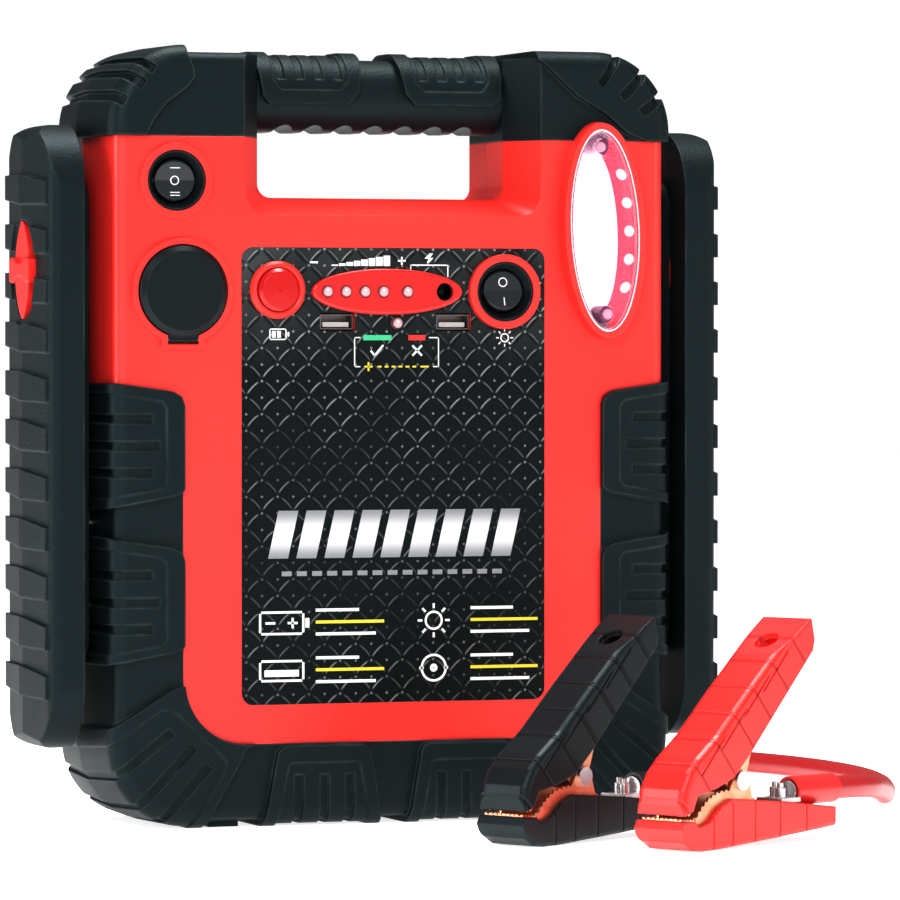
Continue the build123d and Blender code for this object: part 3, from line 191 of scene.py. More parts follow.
class Sheet:
    """One material's node tree."""

    def __init__(self, name):
        self.mat = bpy.data.materials.new(name)
        self.mat.use_nodes = True
        self.tree = self.mat.node_tree
        self.bsdf = self.tree.nodes["Principled BSDF"]
        coords = self.tree.nodes.new("ShaderNodeTexCoord")
        split = self.tree.nodes.new("ShaderNodeSeparateXYZ")
        self.place = coords.outputs["Object"]
        self.tree.links.new(self.place, split.inputs[0])
        self.x, self.y, self.z = (Sock(self, out) for out in split.outputs)

    def node(self, kind, inputs=(), out=0, **settings):
        node = self.tree.nodes.new(kind)
        for key, value in settings.items():
            setattr(node, key, value)
        pairs = inputs.items() if isinstance(inputs, dict) else enumerate(inputs)
        for key, value in pairs:
            if isinstance(value, Sock):
                value = value.out
            if isinstance(value, bpy.types.NodeSocket):
                self.tree.links.new(value, node.inputs[key])
            else:
                node.inputs[key].default_value = value
        return Sock(self, node.outputs[out])

    def noise(self, scale, detail=2.0, rough=0.5):
        return self.node("ShaderNodeTexNoise", {"Vector": self.place, "Scale": scale,
                                                "Detail": detail, "Roughness": rough})

    def cells(self, scale):
        return self.node("ShaderNodeTexVoronoi", {"Vector": self.place, "Scale": scale})

    def mix(self, factor, a, b):
        """Colour a where factor is 0, b where it is 1."""
        node = self.node("ShaderNodeMix", {"Factor": factor}, data_type="RGBA")
        mixer = node.out.node
        for key, value in ((6, a), (7, b)):
            if isinstance(value, Sock):
                self.tree.links.new(value.out, mixer.inputs[key])
            else:
                mixer.inputs[key].default_value = (*value[:3], 1.0)
        return Sock(self, mixer.outputs[2])

    def edge(self, radius=0.0012):
        """1 on convex edges, 0 on flats: the bevelled normal leaves the true one there."""
        bevel = self.node("ShaderNodeBevel", {"Radius": radius}, samples=4)
        true = self.node("ShaderNodeNewGeometry", out="Normal")
        dot = self.node("ShaderNodeVectorMath", [bevel, true], out="Value", operation="DOT_PRODUCT")
        return (1.0 - dot).ramp(0.01, 0.2)

    def bump(self, height, distance, strength=1.0, soft=0.0):
        inputs = {"Height": height, "Distance": distance, "Strength": strength}
        if soft:
            inputs["Normal"] = self.node("ShaderNodeBevel", {"Radius": soft}, samples=4)
        self.set("Normal", self.node("ShaderNodeBump", inputs))

    def set(self, name, value):
        target = self.bsdf.inputs[name]
        if isinstance(value, Sock):
            self.tree.links.new(value.out, target)
        elif hasattr(value, "__len__") and len(value) == 3:
            target.default_value = (*value, 1.0)
        else:
            target.default_value = value
        return self


def finish_of(sheet, **values):
    """Set constants on a sheet's shader: base, rough, metal, coat and so on."""
    names = {"base": "Base Color", "rough": "Roughness", "metal": "Metallic",
             "coat": "Coat Weight", "coat_rough": "Coat Roughness", "clear": "Transmission Weight",
             "ior": "IOR", "glow": "Emission Strength", "light": "Emission Color",
             "spec": "Specular IOR Level", "sheen_of": "Specular Tint"}
    for key, value in values.items():
        sheet.set(names[key], value)
    return sheet.mat


def paint(mat, *nodes):
    """Give every slot of these CAD nodes the material."""
    for node in nodes:
        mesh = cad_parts[node].data
        mesh.materials.clear()
        mesh.materials.append(mat)


# %% [markdown]
# ## Red shell
# The housing is moulded in a satin red plastic. A painted shell would need a thick clear coat; a
# moulding needs a fine grain, a thin coat and edges rounded in the shading, and its colour stays even.

# %% Red shell
red = Sheet("red_shell")
grain = red.cells(2600.0)
soft = red.noise(9.0, 3.0)
red.bump(grain * 0.6 + red.noise(1400.0) * 0.4, 0.00006, 0.35, soft=0.0009)
red.set("Base Color", red.mix(soft.ramp(0.3, 0.7), (0.80, 0.026, 0.020), (0.86, 0.034, 0.026)))
red.set("Roughness", 0.33 + soft * 0.08)
red_mat = finish_of(red, spec=0.5, coat=0.12, coat_rough=0.22)
paint(red_mat, "front_housing", "rear_housing", "button_bezel", "lamp_bezel")

# %% [markdown]
# ## Rubber
# The bumper, caps and wings are soft black rubber with a pebbled skin and a faint blue in the black.
# The edges carry a painted highlight, paler and bluer, and the bevel node finds the edges.

# %% Rubber
rubber = Sheet("black_rubber")
pebble = rubber.cells(900.0)
edge_highlight = rubber.edge(0.0016)
dust_and_sheen = rubber.noise(60.0, 4.0, 0.6)
rubber.bump(pebble * 0.7 + rubber.noise(2200.0) * 0.3, 0.00022, 0.45, soft=0.0011)
# painted highlight: convex edges lighter and bluer, broken up by noise
rubber.set("Base Color", rubber.mix(edge_highlight * dust_and_sheen.ramp(0.25, 0.75) * 0.85,
                                    (0.0036, 0.0080, 0.0092), (0.064, 0.088, 0.096)))
rubber.set("Roughness", 0.42 + dust_and_sheen * 0.12)
COOL = (0.72, 0.95, 1.0)
rubber_mat = finish_of(rubber, spec=0.24, sheen_of=COOL)
paint(rubber_mat, "lower_bumper_front", "lower_bumper_rear", "top_cap_left", "top_cap_right",
      "wing_left", "wing_right", "handle_grip", "grip_pads", "wing_hubs")

# %% [markdown]
# ## Small mouldings
# The switch bodies, rockers and socket are harder black plastic with less grain.

# %% Black plastic, button, pod
plastic = Sheet("black_plastic")
plastic.bump(plastic.cells(2400.0), 0.00005, 0.3, soft=0.0006)
# painted highlight: convex edges lighter than the flats
plastic.set("Base Color", plastic.mix(plastic.edge(0.0007) * 0.7, (0.0062, 0.0075, 0.0088),
                                      (0.042, 0.047, 0.052)))
plastic_mat = finish_of(plastic, rough=0.36, spec=0.3, sheen_of=COOL)
paint(plastic_mat, "output_switch_body", "light_switch_body", "socket_liner", "socket_cap",
      "cable_glands", "charge_jack", "battery_strap", "battery")
button = Sheet("red_button")
button.bump(button.noise(900.0), 0.00002, 0.2, soft=0.0006)
paint(finish_of(button, base=(0.50, 0.003, 0.004), rough=0.32, coat=0.2), "battery_check_button")
pod = Sheet("red_pod")
pod.bump(pod.noise(900.0), 0.00002, 0.2, soft=0.0006)
paint(finish_of(pod, base=(0.72, 0.016, 0.015), rough=0.3, coat=0.25), "indicator_pod")


# %% [markdown]
# ## Clamp grips
# The upper grips have moulded rings across them, with painted shade in the grooves. They are drawn by
# the distance along the grip, which follows any tilt of the clamp; cut rings would need a new mesh.

# %% Clamp grips
BAND_PITCH = 0.0155
BAND_SHIFT = 0.004


def banded(name, node, base, groove_shade, **finish):
    """Grip with moulded rings across it: grooves a pitch apart along the piece's longest axis, with
    painted shade in the grooves.
    """
    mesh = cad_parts[node].data
    points = np.empty(len(mesh.vertices) * 3)
    mesh.vertices.foreach_get("co", points)
    points = points.reshape(-1, 3)
    centre = points.mean(0)
    axis = np.linalg.svd(points - centre, full_matrices=False)[2][0]
    sheet = Sheet(name)
    along = sheet.node("ShaderNodeVectorMath", [sheet.place, tuple(axis)], out="Value",
                       operation="DOT_PRODUCT") - float(centre @ axis)
    groove = 1.0 - (along + BAND_SHIFT).wave(BAND_PITCH).ramp(0.0003, 0.0011)
    grain = sheet.cells(1900.0) * 0.05 + sheet.noise(700.0) * 0.05
    sheet.bump(grain - groove, 0.0007, 0.6, soft=0.001)
    # painted shade: the grooves are coloured darker than the rest of the grip
    sheet.set("Base Color", sheet.mix(groove * 0.8, base, groove_shade))
    paint(finish_of(sheet, **finish), node)
    print(name, "axis", axis.round(2))


grip = Sheet("red_grip")
grip.bump(grip.cells(1900.0) * 0.5 + grip.noise(700.0) * 0.5, 0.00006, 0.4, soft=0.001)
RED_GRIP = (0.84, 0.022, 0.018)
paint(finish_of(grip, base=RED_GRIP, rough=0.34, coat=0.12, coat_rough=0.25), "clamp_docks",
      "red_clamp_lower_grip")
banded("red_band_grip", "red_clamp_upper_grip", RED_GRIP, (0.42, 0.008, 0.008),
       rough=0.34, coat=0.12, coat_rough=0.25)
dark_grip = Sheet("black_grip")
dark_grip.bump(dark_grip.cells(1900.0), 0.00006, 0.4, soft=0.001)
BLACK_GRIP = (0.0058, 0.0085, 0.0100)
paint(finish_of(dark_grip, base=BLACK_GRIP, rough=0.36, spec=0.3, sheen_of=COOL),
      "black_clamp_lower_grip")
banded("black_band_grip", "black_clamp_upper_grip", BLACK_GRIP, (0.001, 0.001, 0.001),
       rough=0.36, spec=0.3, sheen_of=COOL)

# %% [markdown]
# ## Metals
# Rivets and screws are bright steel, the jaws are copper plated. The colour of a metal sits in its
# reflection, so they get a metallic shader with a faint wear in the roughness.

# %% Metals
steel = Sheet("steel")
steel.set("Roughness", 0.22 + steel.noise(400.0) * 0.16)
steel.bump(steel.noise(1200.0), 0.00002, 0.3, soft=0.0003)
steel_mat = finish_of(steel, base=(0.62, 0.61, 0.62), metal=1.0)
paint(steel_mat, "handle_core", "wing_screws", "housing_screws", "button_spring",
      "socket_hinge_pin", "clamp_rivets", "cable_lugs",
      "clamp_springs", "socket_holder")
brass = Sheet("brass")
paint(finish_of(brass, base=(0.78, 0.60, 0.30), metal=1.0, rough=0.3), "socket_contact",
      "battery_terminals")
copper = Sheet("copper")
copper.bump(copper.noise(1500.0), 0.00003, 0.4, soft=0.0003)
copper.set("Roughness", 0.27 + copper.noise(300.0) * 0.18)
copper.set("Base Color", copper.mix(copper.noise(160.0, 3.0).ramp(0.35, 0.7),
                                    (0.86, 0.46, 0.30), (0.72, 0.34, 0.20)))
copper_mat = finish_of(copper, metal=1.0)
paint(copper_mat, "red_clamp_lower_jaw", "red_clamp_upper_jaw", "black_clamp_lower_jaw",
      "black_clamp_upper_jaw")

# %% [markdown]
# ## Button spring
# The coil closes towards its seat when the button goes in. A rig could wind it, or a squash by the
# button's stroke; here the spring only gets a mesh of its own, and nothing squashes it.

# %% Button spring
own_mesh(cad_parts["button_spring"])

# %% [markdown]
# ## Sheaths, boards and ports
# Lead sheaths are softer and glossier than the mouldings, so they carry a thin coat over a duller
# colour.

# %% Sheaths, boards and ports
sheath = Sheet("red_sheath")
sheath.bump(sheath.noise(300.0), 0.00005, 0.3)
finish_of(sheath, base=(0.46, 0.014, 0.018), rough=0.38, coat=0.15, coat_rough=0.3)
red_cable.data.materials.append(sheath.mat)
boot = Sheet("red_boot")
boot.bump(boot.noise(500.0), 0.00008, 0.4, soft=0.0006)
paint(finish_of(boot, base=(0.80, 0.03, 0.03), rough=0.38, coat=0.2), "red_cable_boot")
dark_sheath = Sheet("black_sheath")
dark_sheath.bump(dark_sheath.noise(300.0), 0.00005, 0.3)
dark_sheath_mat = finish_of(dark_sheath, base=(0.012, 0.012, 0.013), rough=0.38)
black_cable.data.materials.append(dark_sheath_mat)
paint(dark_sheath_mat, "black_cable_boot")
board = Sheet("board")
paint(finish_of(board, base=(0.01, 0.10, 0.04), rough=0.4), "control_board", "lamp_board")
tongue = Sheet("white_tongue")
paint(finish_of(tongue, base=(0.46, 0.43, 0.42), rough=0.5), "usb_tongues")
tinned = Sheet("port_steel")
paint(finish_of(tinned, base=(0.22, 0.19, 0.19), metal=1.0, rough=0.42), "usb_shells")

# %% [markdown]
# ## Label
# The label is a printed sheet. Its picture is a tread plate: raised bars in two directions, with the
# light end of the print at the top. An image texture would be quicker; arithmetic on the
# coordinates keeps it sharp at any size. Each bar is a lens shape in a cell turned by 45 degrees, and
# alternate cells turn the other way.

# %% Label
label = Sheet("label")
PITCH = 0.0069


def bars(sheet, lean, parity):
    """Bowed bars on the points (i, j) * pitch whose i + j is even (parity 0) or odd (parity 1).

    u and v run along and across a bar that leans by 45 degrees; v is bent by 26 u squared.
    """
    row = (sheet.z / PITCH).floor()
    shift = (row + parity).mod(2.0) * PITCH
    cell_x = (sheet.x + shift).mod(2 * PITCH) - PITCH
    cell_z = sheet.z.mod(PITCH) - PITCH / 2
    root = math.sqrt(0.5)
    u = (cell_x * lean + cell_z) * root
    v = (cell_z - cell_x * lean) * root
    v = v + u * u * 30.0 - 0.0005
    return u, v, (u / 0.0040).abs() ** 3.0 + (v / 0.0013).abs() ** 2.0


def ridges(sheet):
    """Bodies and lit edges of both families of bars, and the small studs between them."""
    body, lit = None, None
    for lean, parity in ((1.0, 0), (-1.0, 1)):
        u, v, d = bars(sheet, lean, parity)
        shape = 1.0 - d.ramp(0.5, 1.2)
        edge = 1.0 - ((v - 0.00055) / 0.0005).abs().clamp()
        edge = edge * (1.0 - (u / 0.0040).abs().ramp(0.5, 1.0))
        gain = 1.0 if lean > 0 else 0.42
        body = shape if body is None else body.max(shape)
        lit = edge * gain if lit is None else lit.max(edge * gain)
    stud_x = (sheet.x + PITCH / 2).wave(PITCH)
    stud_z = (sheet.z + PITCH * 0.02).wave(PITCH)
    far = (stud_x * stud_x + stud_z * stud_z).sqrt()
    return body, lit, 1.0 - far.ramp(0.00035, 0.0007)


body, lit, stud = ridges(label)
fade = ((label.z - 0.07) / 0.17).clamp()
patch = label.noise(16.0, 3.0).ramp(0.35, 0.65)
glint = label.noise(30.0, 2.0).ramp(0.35, 0.62)
corner = ((label.z - 0.19) / 0.05).clamp() * (0.35 + (label.x.abs() / 0.0675) * 0.65)
ground = label.mix(corner * patch * 0.85, (0.0035, 0.0050, 0.0053), (0.075, 0.080, 0.082))
lower = (1.0 - ((label.z - 0.055) / 0.07).clamp()) * 0.5
ground = label.mix(body * 0.75, ground, (0.0035, 0.004, 0.0045))
shine = lit.max(stud * 0.7) * (0.16 + (fade.max(lower)) * 0.5) * (glint * 0.8 + 0.25)
label.set("Base Color", label.mix(shine.clamp(), ground, (0.55, 0.56, 0.58)))
label.set("Roughness", 0.40 - lit * 0.08)
label.bump(lit * 0.5 + body * 0.5, 0.0001, 0.15)
label_mat = finish_of(label, spec=0.16, sheen_of=COOL)
paint(label_mat, "label_plate")
print("label of", len(label.tree.nodes), "nodes")

# %% [markdown]
# ## Print on the label
# Words are left out. Plain signs stand where the label needs a mark: a rising wedge between minus and
# plus over the level lamps, a bolt for charging, brackets, a tick and a cross for the polarity lamp,
# four small icons with rules beside them, and one row of slanted silver bars. A mesh of flat
# polygons just off the label holds each colour; a decal image would blur close up.

# %% Print on the label
PRINT_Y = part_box("label_plate")[0][1] - 0.00006


def quads(*corners):
    """Flat four-sided marks, each given as four (x, z) corners in millimetres."""
    return [np.array(c, float) for c in corners]


def sun(x, z, radius, line, inner, outer, ray):
    """Ring of width line with eight short rays of width ray from inner to outer."""
    marks = ring(x, z, radius, line)
    for angle in range(0, 360, 45):
        c, d = math.cos(math.radians(angle)), math.sin(math.radians(angle))
        marks.append(stroke((x + inner * c, z + inner * d), (x + outer * c, z + outer * d), ray))
    return marks


def bar(x0, x1, z0, z1, lean=0.0):
    """Rectangle, with its top shifted by lean."""
    return np.array([(x0, z0), (x1, z0), (x1 + lean, z1), (x0 + lean, z1)], float)


def stroke(a, b, width):
    """Straight line from a to b of one width: offset both ends by half of it along the normal."""
    a, b = np.array(a, float), np.array(b, float)
    n = np.array([a[1] - b[1], b[0] - a[0]]) / np.linalg.norm(b - a) * width / 2
    return np.array([a - n, b - n, b + n, a + n])


def ring(x, z, radius, width, start=0.0, end=360.0, count=40):
    """Arc of a ring as quads: radius r at angle t gives (x + r cos t, z + r sin t)."""
    t = np.radians(np.linspace(start, end, count + 1))
    inner, outer = radius - width / 2, radius + width / 2
    points = [np.stack([x + r * np.cos(t), z + r * np.sin(t)], 1) for r in (inner, outer)]
    return [np.array([points[0][i], points[1][i], points[1][i + 1], points[0][i + 1]])
            for i in range(count)]


def flat_mesh(name, marks, mat, y=None):
    """One mesh of flat quads in the plane Y = y."""
    xz = np.array(marks).reshape(-1, 2) / 1000
    verts = np.stack([xz[:, 0], np.full(len(xz), PRINT_Y if y is None else y), xz[:, 1]], 1)
    faces = np.arange(len(xz)).reshape(-1, 4)
    data = bpy.data.meshes.new(name)
    data.from_pydata(verts.tolist(), [], faces.tolist())
    data.materials.append(mat)
    obj = bpy.data.objects.new(name, data)
    bpy.context.collection.objects.link(obj)
    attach(obj, "pack")
    print(name, len(faces), "faces")
    return obj


white_marks = [bar(-28 + 3.3 * i, -28 + 3.3 * i + 2.95, 234.4, 234.9 + 0.55 * i) for i in range(8)]
white_marks += [bar(-37.5, -34, 235.4, 236.2), bar(1.5, 5, 236.2, 237.0),
                bar(2.85, 3.65, 234.9, 238.3)]
white_marks += [bar(7, 24.1, 234.6, 235.1), bar(7, 7.5, 232.4, 235.1),
                bar(23.6, 24.1, 229.8, 235.1)]
white_marks += quads([(15.6, 239.8), (13.4, 237.6), (15.6, 237.4), (17.2, 239.8)],
                     [(17.4, 237.9), (15.2, 235.6), (14.4, 235.7), (15.4, 237.9)])
white_marks += [bar(-18, -17.5, 191.9, 204.6), bar(19.4, 19.9, 191.9, 204.6),
                bar(-18, -15.2, 204.1, 204.6), bar(15.4, 19.9, 204.1, 204.6),
                bar(-18, -15.2, 191.9, 192.4), bar(17.2, 19.9, 191.9, 192.4)]
white_marks += [stroke((-10.6, 198.9), (-8.6, 196.6), 0.9), stroke((-8.9, 196.7), (-5.0, 201.2), 0.9),
                stroke((8.0, 196.8), (12.2, 201.0), 0.9), stroke((8.0, 201.0), (12.2, 196.8), 0.9)]
white_marks += [bar(-55.4, -47.8, 203.3, 203.8), bar(-55.4, -47.8, 207.6, 208.1),
                bar(-55.4, -54.9, 203.3, 208.1), bar(-48.3, -47.8, 203.3, 208.1),
                bar(-47.4, -46.6, 204.8, 206.6), bar(-54.3, -52.6, 204.3, 207.1),
                bar(-52.0, -50.3, 204.3, 207.1)]
white_marks += sun(49.4, 204.3, 1.7, 0.55, 2.6, 3.8, 0.5)
yellow_marks = [bar(-13.4, -9.8, 191.8, 192.5), bar(-12.0, -11.2, 190.3, 194.0),
                bar(11.6, 15.2, 191.8, 192.5)]
yellow_marks += [bar(-7.5 + 3.1 * i, -5.8 + 3.1 * i, 191.8, 192.5) for i in range(6)]
for x, z in ((-62, 79), (-62, 59), (6, 79), (6, 59)):
    wide = 26 if x < 0 else 27
    text = x + wide + 1.0
    for line, span in enumerate((0.62, 0.98, 0.86)):
        rule = bar(text, text + 31 * span, z + 10.6 - 5.0 * line, z + 11.9 - 5.0 * line)
        (yellow_marks if line == 1 else white_marks).append(rule)
# four icons: battery, lamp, port, power socket
white_marks += [bar(-60, -40, 80, 81), bar(-60, -40, 89, 90), bar(-60, -59, 80, 90),
                bar(-41, -40, 80, 90), bar(-39.6, -37.8, 83, 87),
                bar(-57.2, -52.8, 84.5, 85.5), bar(-47.4, -43.0, 84.5, 85.5),
                bar(-45.7, -44.7, 82.8, 87.2)]
white_marks += sun(17.5, 85.2, 3.6, 0.95, 5.1, 7.2, 0.95)
white_marks += [bar(-60, -40, 60.4, 61.4), bar(-60, -40, 68.6, 69.6), bar(-60, -59, 60.4, 69.6),
                bar(-41, -40, 60.4, 69.6), bar(-57.6, -42.4, 62.6, 65.4)]
white_marks += ring(17.5, 65.2, 5.4, 1.0) + ring(17.5, 65.2, 1.0, 1.4) \
    + [bar(11.0, 13.0, 64.6, 65.8), bar(22.0, 24.0, 64.6, 65.8)]
ink = Sheet("white_ink")
flat_mesh("white_print", white_marks, finish_of(ink, base=(0.82, 0.83, 0.84), rough=0.35))
ink = Sheet("yellow_ink")
flat_mesh("yellow_print", yellow_marks, finish_of(ink, base=(0.78, 0.62, 0.04), rough=0.35))
ink = Sheet("green_ink")
flat_mesh("green_print", [bar(-13.9, -1.3, 203.2, 205.4)],
          finish_of(ink, base=(0.05, 0.50, 0.24), rough=0.35))
ink = Sheet("red_ink")
flat_mesh("red_print", [bar(6.2, 13.7, 203.2, 205.4)],
          finish_of(ink, base=(0.72, 0.03, 0.03), rough=0.35))
ink = Sheet("silver_ink")
shade = ((ink.z - 0.112) / 0.020).clamp()
ink.set("Base Color", ink.mix((shade - 0.5).abs().ramp(0.04, 0.5), (0.86, 0.87, 0.88),
                              (0.30, 0.31, 0.33)))
bars_row = [bar(-56 + 12.4 * i, -56 + 12.4 * i + 8.8, 112, 132, 4.6) for i in range(9)]
under = [bar(-50 + 6.7 * i, -50 + 6.7 * i + 4.4, 104.6, 106.6) for i in range(15)]
flat_mesh("silver_print", bars_row + under, finish_of(ink, metal=0.55, rough=0.32))

# %% [markdown]
# ## Marks on the rockers
# A switch says its state with a bar and a ring. They are pad-printed, so they lie in the rocker's own
# colour and turn with it: masks on the piece's own x and z.

# %% Marks on the rockers


def rocker_sheet(name, cx, cz, marks):
    """Black rocker with white strokes. marks are ("ring", dz, r, w) or ("bar", dx, dz, wide, tall)."""
    sheet = Sheet(name)
    x, z = sheet.x - cx, sheet.z - cz
    total = None
    for kind, *v in marks:
        if kind == "ring":
            dz, radius, width = v
            far = ((x * x + (z - dz) * (z - dz)).sqrt() - radius).abs()
            mask = 1.0 - far.ramp(width * 0.42, width * 0.58)
        else:
            dx, dz, wide, tall = v
            side = 1.0 - (x - dx).abs().ramp(wide / 2 - 5e-5, wide / 2 + 5e-5)
            up = 1.0 - (z - dz).abs().ramp(tall / 2 - 5e-5, tall / 2 + 5e-5)
            mask = side * up
        total = mask if total is None else total.max(mask)
    sheet.bump(sheet.cells(2400.0), 0.00004, 0.3, soft=0.0006)
    sheet.set("Base Color", sheet.mix(total, (0.016, 0.019, 0.022), (0.72, 0.73, 0.74)))
    return finish_of(sheet, rough=0.33, coat=0.1)


paint(rocker_sheet("light_rocker_print", 0.0488, 0.2238,
                   [("ring", 0.0040, 0.0018, 0.0005), ("bar", 0.0002, -0.0041, 0.0005, 0.0034)]),
      "light_rocker")
paint(rocker_sheet("output_rocker_print", -0.0961, 0.2695,
                   [("bar", 0, 0.0052, 0.0044, 0.0004), ("ring", 0, 0.0017, 0.0005),
                    ("bar", 0, -0.0050, 0.0042, 0.0004), ("bar", 0, -0.0062, 0.0042, 0.0004)]),
      "output_rocker")

# %% [markdown]
# ## Lamp
# The lamp is lit: a white oval of emitters over a metallised bowl, behind a clear lens with a moulded
# edge. The glow is an emission on the chips, not a light, so that it keeps its colour at any
# exposure. Bowl, lens, bead and screws carry painted light: a glowing oval around the chips, bright
# spots and a bright line on the wall, shaded screw wells, glowing lens edges and pink glowing screws.

# %% Lamp
LAMP_Z = 0.2498
chips = Sheet("emitters")
paint(finish_of(chips, base=(1, 1, 1), light=(1.0, 0.94, 0.97), glow=6.0), "lamp_chips")
bowl = Sheet("reflector")
bowl_cells = bowl.cells(900.0)
speckle = bowl.noise(1500.0, 2.0, 0.7)
bowl.bump(bowl_cells, 0.0006, 0.9)
# painted light: the bowl glows white in an oval around the chips and faintly everywhere else
lamp_x = (bowl.x - 0.0905) / 0.0078
lamp_z = (bowl.z - 0.2485) / 0.0300
oval = (lamp_x * lamp_x + lamp_z * lamp_z).sqrt() + (speckle - 0.5) * 0.55
painted_glow_oval = 1.0 - oval.ramp(0.72, 1.25)
# painted shade: the screw wells are darker than the bowl
well = ((bowl.x - 0.0935).abs() ** 2.0
        + ((bowl.z - LAMP_Z).abs() - 0.0355) ** 2.0).sqrt()
shaded_screw_well = 1.0 - well.ramp(0.0034, 0.0040)
tone = bowl.mix(speckle.ramp(0.35, 0.65), (0.36, 0.13, 0.24), (0.80, 0.62, 0.72))
tone = bowl.mix(shaded_screw_well, tone, (0.16, 0.03, 0.09))
painted_dim_glow = bowl.mix(0.93, tone, (0.0, 0.0, 0.0))
glow = bowl.mix(painted_glow_oval * (1.0 - shaded_screw_well), painted_dim_glow, (1.0, 0.97, 1.0))
# painted highlights: bright spots and a bright line on the bowl's right wall, which glows dark red
# elsewhere
wall = (-0.0272 - bowl.y).ramp(0.0, 0.0005)
level = bowl.z - LAMP_Z
spot_far = ((level.wave(0.012) / 0.0024) ** 2.0 + ((bowl.y + 0.0345) / 0.0030).abs() ** 2.0).sqrt()
highlight_spots = (1.0 - spot_far.ramp(0.35, 1.15)) * (1.0 - level.abs().ramp(0.029, 0.031))
seam_highlight = 1.0 - (bowl.y + 0.0274).abs().ramp(0.00022, 0.00042)
wall_painted_light = bowl.mix(highlight_spots, (0.20, 0.012, 0.022), (1.0, 0.92, 0.94))
right = (bowl.x - 0.095).ramp(0.0, 0.003)
glow = bowl.mix(wall * right, glow, wall_painted_light)
glow = bowl.mix(seam_highlight * 0.8, glow, (0.42, 0.30, 0.36))
bowl.set("Base Color", bowl.mix(wall * right, tone, (0.62, 0.05, 0.09)))
bowl.set("Emission Color", glow)
finish_of(bowl, metal=0.35, rough=0.32, glow=3.0)
paint(bowl.mat, "lamp_reflector")
lens = Sheet("clear_lens")
# painted highlight: the lens edges glow pale pink
rim_highlight = lens.edge(0.0009)
lens.set("Emission Color", lens.mix(rim_highlight, (0.0, 0.0, 0.0), (0.9, 0.68, 0.76)))
paint(finish_of(lens, base=(1.0, 0.965, 0.985), rough=0.03, clear=1.0, ior=1.14, glow=1.0),
      "lamp_lens")


def oval_bead(name, wide, tall, y, radius, mat, around=120, across=10):
    """Thin bead on an oval: centre (a cos t, b sin t), tube r around it, leant 2.5 degrees.

    The tube's point at angle p is the centre plus r cos p along the oval's normal and r sin p in Y.
    """
    t = np.linspace(0, 2 * np.pi, around, endpoint=False)[:, None]
    p = np.linspace(0, 2 * np.pi, across, endpoint=False)[None, :]
    n = np.stack([np.cos(t) / wide, np.sin(t) / tall])
    n = n / np.linalg.norm(n, axis=0)
    x = wide * np.cos(t) + radius * np.cos(p) * n[0]
    z = tall * np.sin(t) + radius * np.cos(p) * n[1]
    lean = math.radians(2.5)
    place = np.stack([0.093 + x * math.cos(lean) - z * math.sin(lean),
                      y + radius * np.sin(p) + 0 * x,
                      LAMP_Z + x * math.sin(lean) + z * math.cos(lean)], -1)
    i, j = np.meshgrid(np.arange(around), np.arange(across), indexing="ij")
    i2, j2 = (i + 1) % around, (j + 1) % across
    faces = np.stack([i * across + j, i2 * across + j, i2 * across + j2, i * across + j2], -1)
    data = bpy.data.meshes.new(name)
    data.from_pydata(place.reshape(-1, 3).tolist(), [], faces.reshape(-1, 4).tolist())
    data.materials.append(mat)
    data.polygons.foreach_set("use_smooth", np.ones(len(data.polygons), bool))
    obj = bpy.data.objects.new(name, data)
    bpy.context.collection.objects.link(obj)
    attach(obj, "pack")
    print(name, len(data.polygons), "faces")
    return obj


# painted highlight: a thin glowing bead traces the bright outline of the lens
outline_highlight = Sheet("lens_highlight_bead")
oval_bead("lens_highlight_bead", 0.0154, 0.0426, -0.0404, 0.00035,
          finish_of(outline_highlight, base=(0.95, 0.9, 0.92), rough=0.1, light=(1.0, 0.86, 0.90), glow=0.5))
# painted light: the steel screws are coloured pink and glow faintly
lit_screws = Sheet("lamp_screw_lit")
paint(finish_of(lit_screws, base=(0.80, 0.48, 0.62), metal=0.5, rough=0.3, light=(0.6, 0.25, 0.4),
                glow=0.25), "lamp_screws")
# painted light on the clear LEDs: a white glint up and left of each centre and a faint glow over the
# rest, with painted shade in a ring at each border
clear = Sheet("clear_led")
glint, rim_shade = None, None
LEDS = [(x / 1000, 0.2236) for x in (-30.4, -22.2, -13.8, -5.6, 5.1)] + [(0.0009, 0.2104)]
for led_x, led_z in LEDS:
    dx, dz = clear.x - led_x, clear.z - led_z
    far = (dx * dx + dz * dz).sqrt()
    off = ((dx + 0.0003) * (dx + 0.0003) + (dz - 0.0006) * (dz - 0.0006)).sqrt()
    spark = 1.0 - off.ramp(0.0001, 0.0009)
    ring_shade = 1.0 - (far - 0.0023).abs().ramp(0.0, 0.0006)
    glint = spark if glint is None else glint.max(spark)
    rim_shade = ring_shade if rim_shade is None else rim_shade.max(ring_shade)
clear.set("Base Color", clear.mix(rim_shade, (0.50, 0.34, 0.36), (0.14, 0.02, 0.03)))
clear.set("Emission Color", clear.mix(glint, (0.03, 0.015, 0.016), (0.85, 0.80, 0.82)))
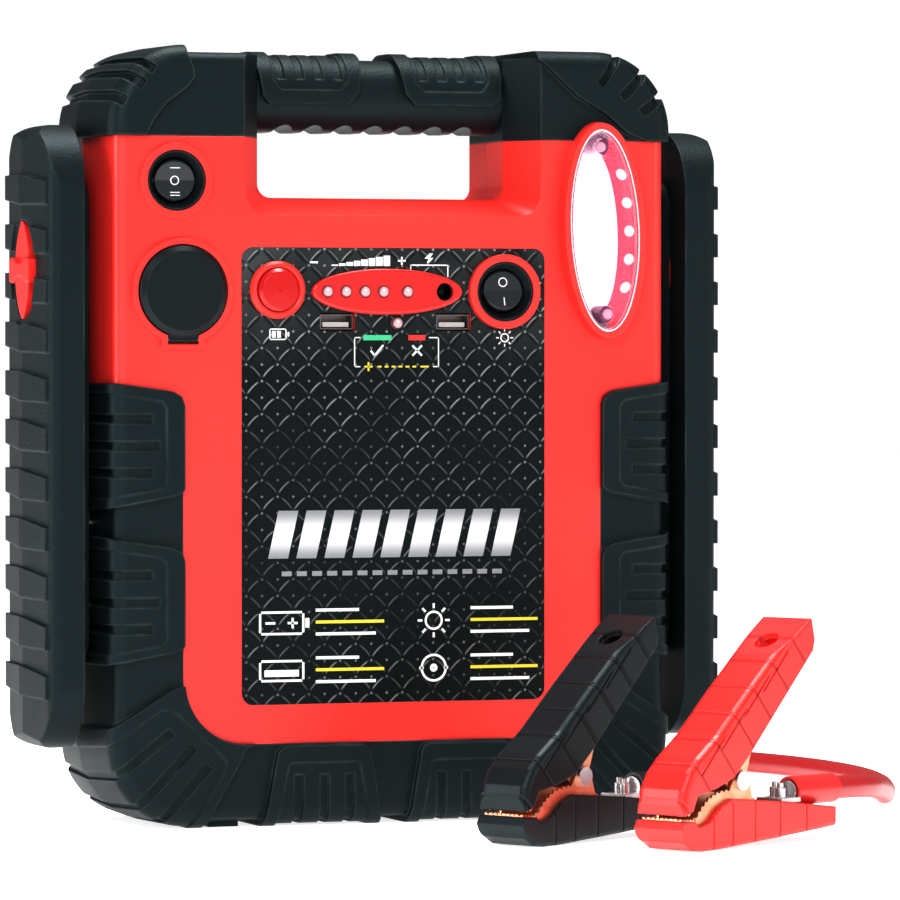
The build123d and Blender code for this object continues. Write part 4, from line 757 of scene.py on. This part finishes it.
paint(finish_of(clear, rough=0.08, coat=0.6, glow=1.0), "indicator_leds", "polarity_led")

# %% [markdown]
# ## Floor and light
# A white floor and large soft lamps, as in a small studio: a key from the left front, a fill from the
# right, a strip from above, and a world of pale grey.

# %% Floor and light
floor_data = bpy.data.meshes.new("floor")
floor_data.from_pydata([(-9, -9, 0), (9, -9, 0), (9, 9, 0), (-9, 9, 0)], [], [(0, 1, 2, 3)])
floor = bpy.data.objects.new("floor", floor_data)
bpy.context.collection.objects.link(floor)
white = Sheet("floor_white")
finish_of(white, base=(0.97, 0.97, 0.97), rough=0.8, light=(1.0, 1.0, 1.0), glow=0.80)
floor_data.materials.append(white.mat)
world = bpy.data.worlds.new("studio")
world.use_nodes = True
sky = world.node_tree
ray = sky.nodes.new("ShaderNodeLightPath")
seen = sky.nodes.new("ShaderNodeMapRange")
seen.inputs["To Min"].default_value, seen.inputs["To Max"].default_value = 0.22, 1.05
sky.links.new(ray.outputs["Is Camera Ray"], seen.inputs["Value"])
sky.links.new(seen.outputs["Result"], sky.nodes["Background"].inputs["Strength"])
sky.nodes["Background"].inputs["Color"].default_value = (1.0, 1.0, 1.0, 1.0)
bpy.context.scene.world = world


def area(name, place, aim, wide, tall, power):
    """A rectangular lamp at place that faces aim."""
    data = bpy.data.lights.new(name, "AREA")
    data.shape, data.size, data.size_y, data.energy = "RECTANGLE", wide, tall, power
    obj = bpy.data.objects.new(name, data)
    obj.location = place
    obj.rotation_euler = (Vector(aim) - Vector(place)).to_track_quat("-Z", "Y").to_euler()
    bpy.context.collection.objects.link(obj)
    return obj


lamps = [area("key", (-0.9, -1.7, 1.25), (0, 0, 0.16), 0.7, 0.7, 30),
         area("fill", (1.5, -1.4, 0.8), (0, 0, 0.16), 0.6, 1.1, 8),
         area("top", (0.1, 0.1, 1.7), (0, 0, 0.1), 1.0, 0.5, 34),
         area("left", (-1.6, 0.1, 0.5), (0, 0, 0.16), 0.3, 1.0, 10)]
bpy.context.scene.view_settings.view_transform = "Standard"
bpy.context.scene.view_settings.gamma = 0.84
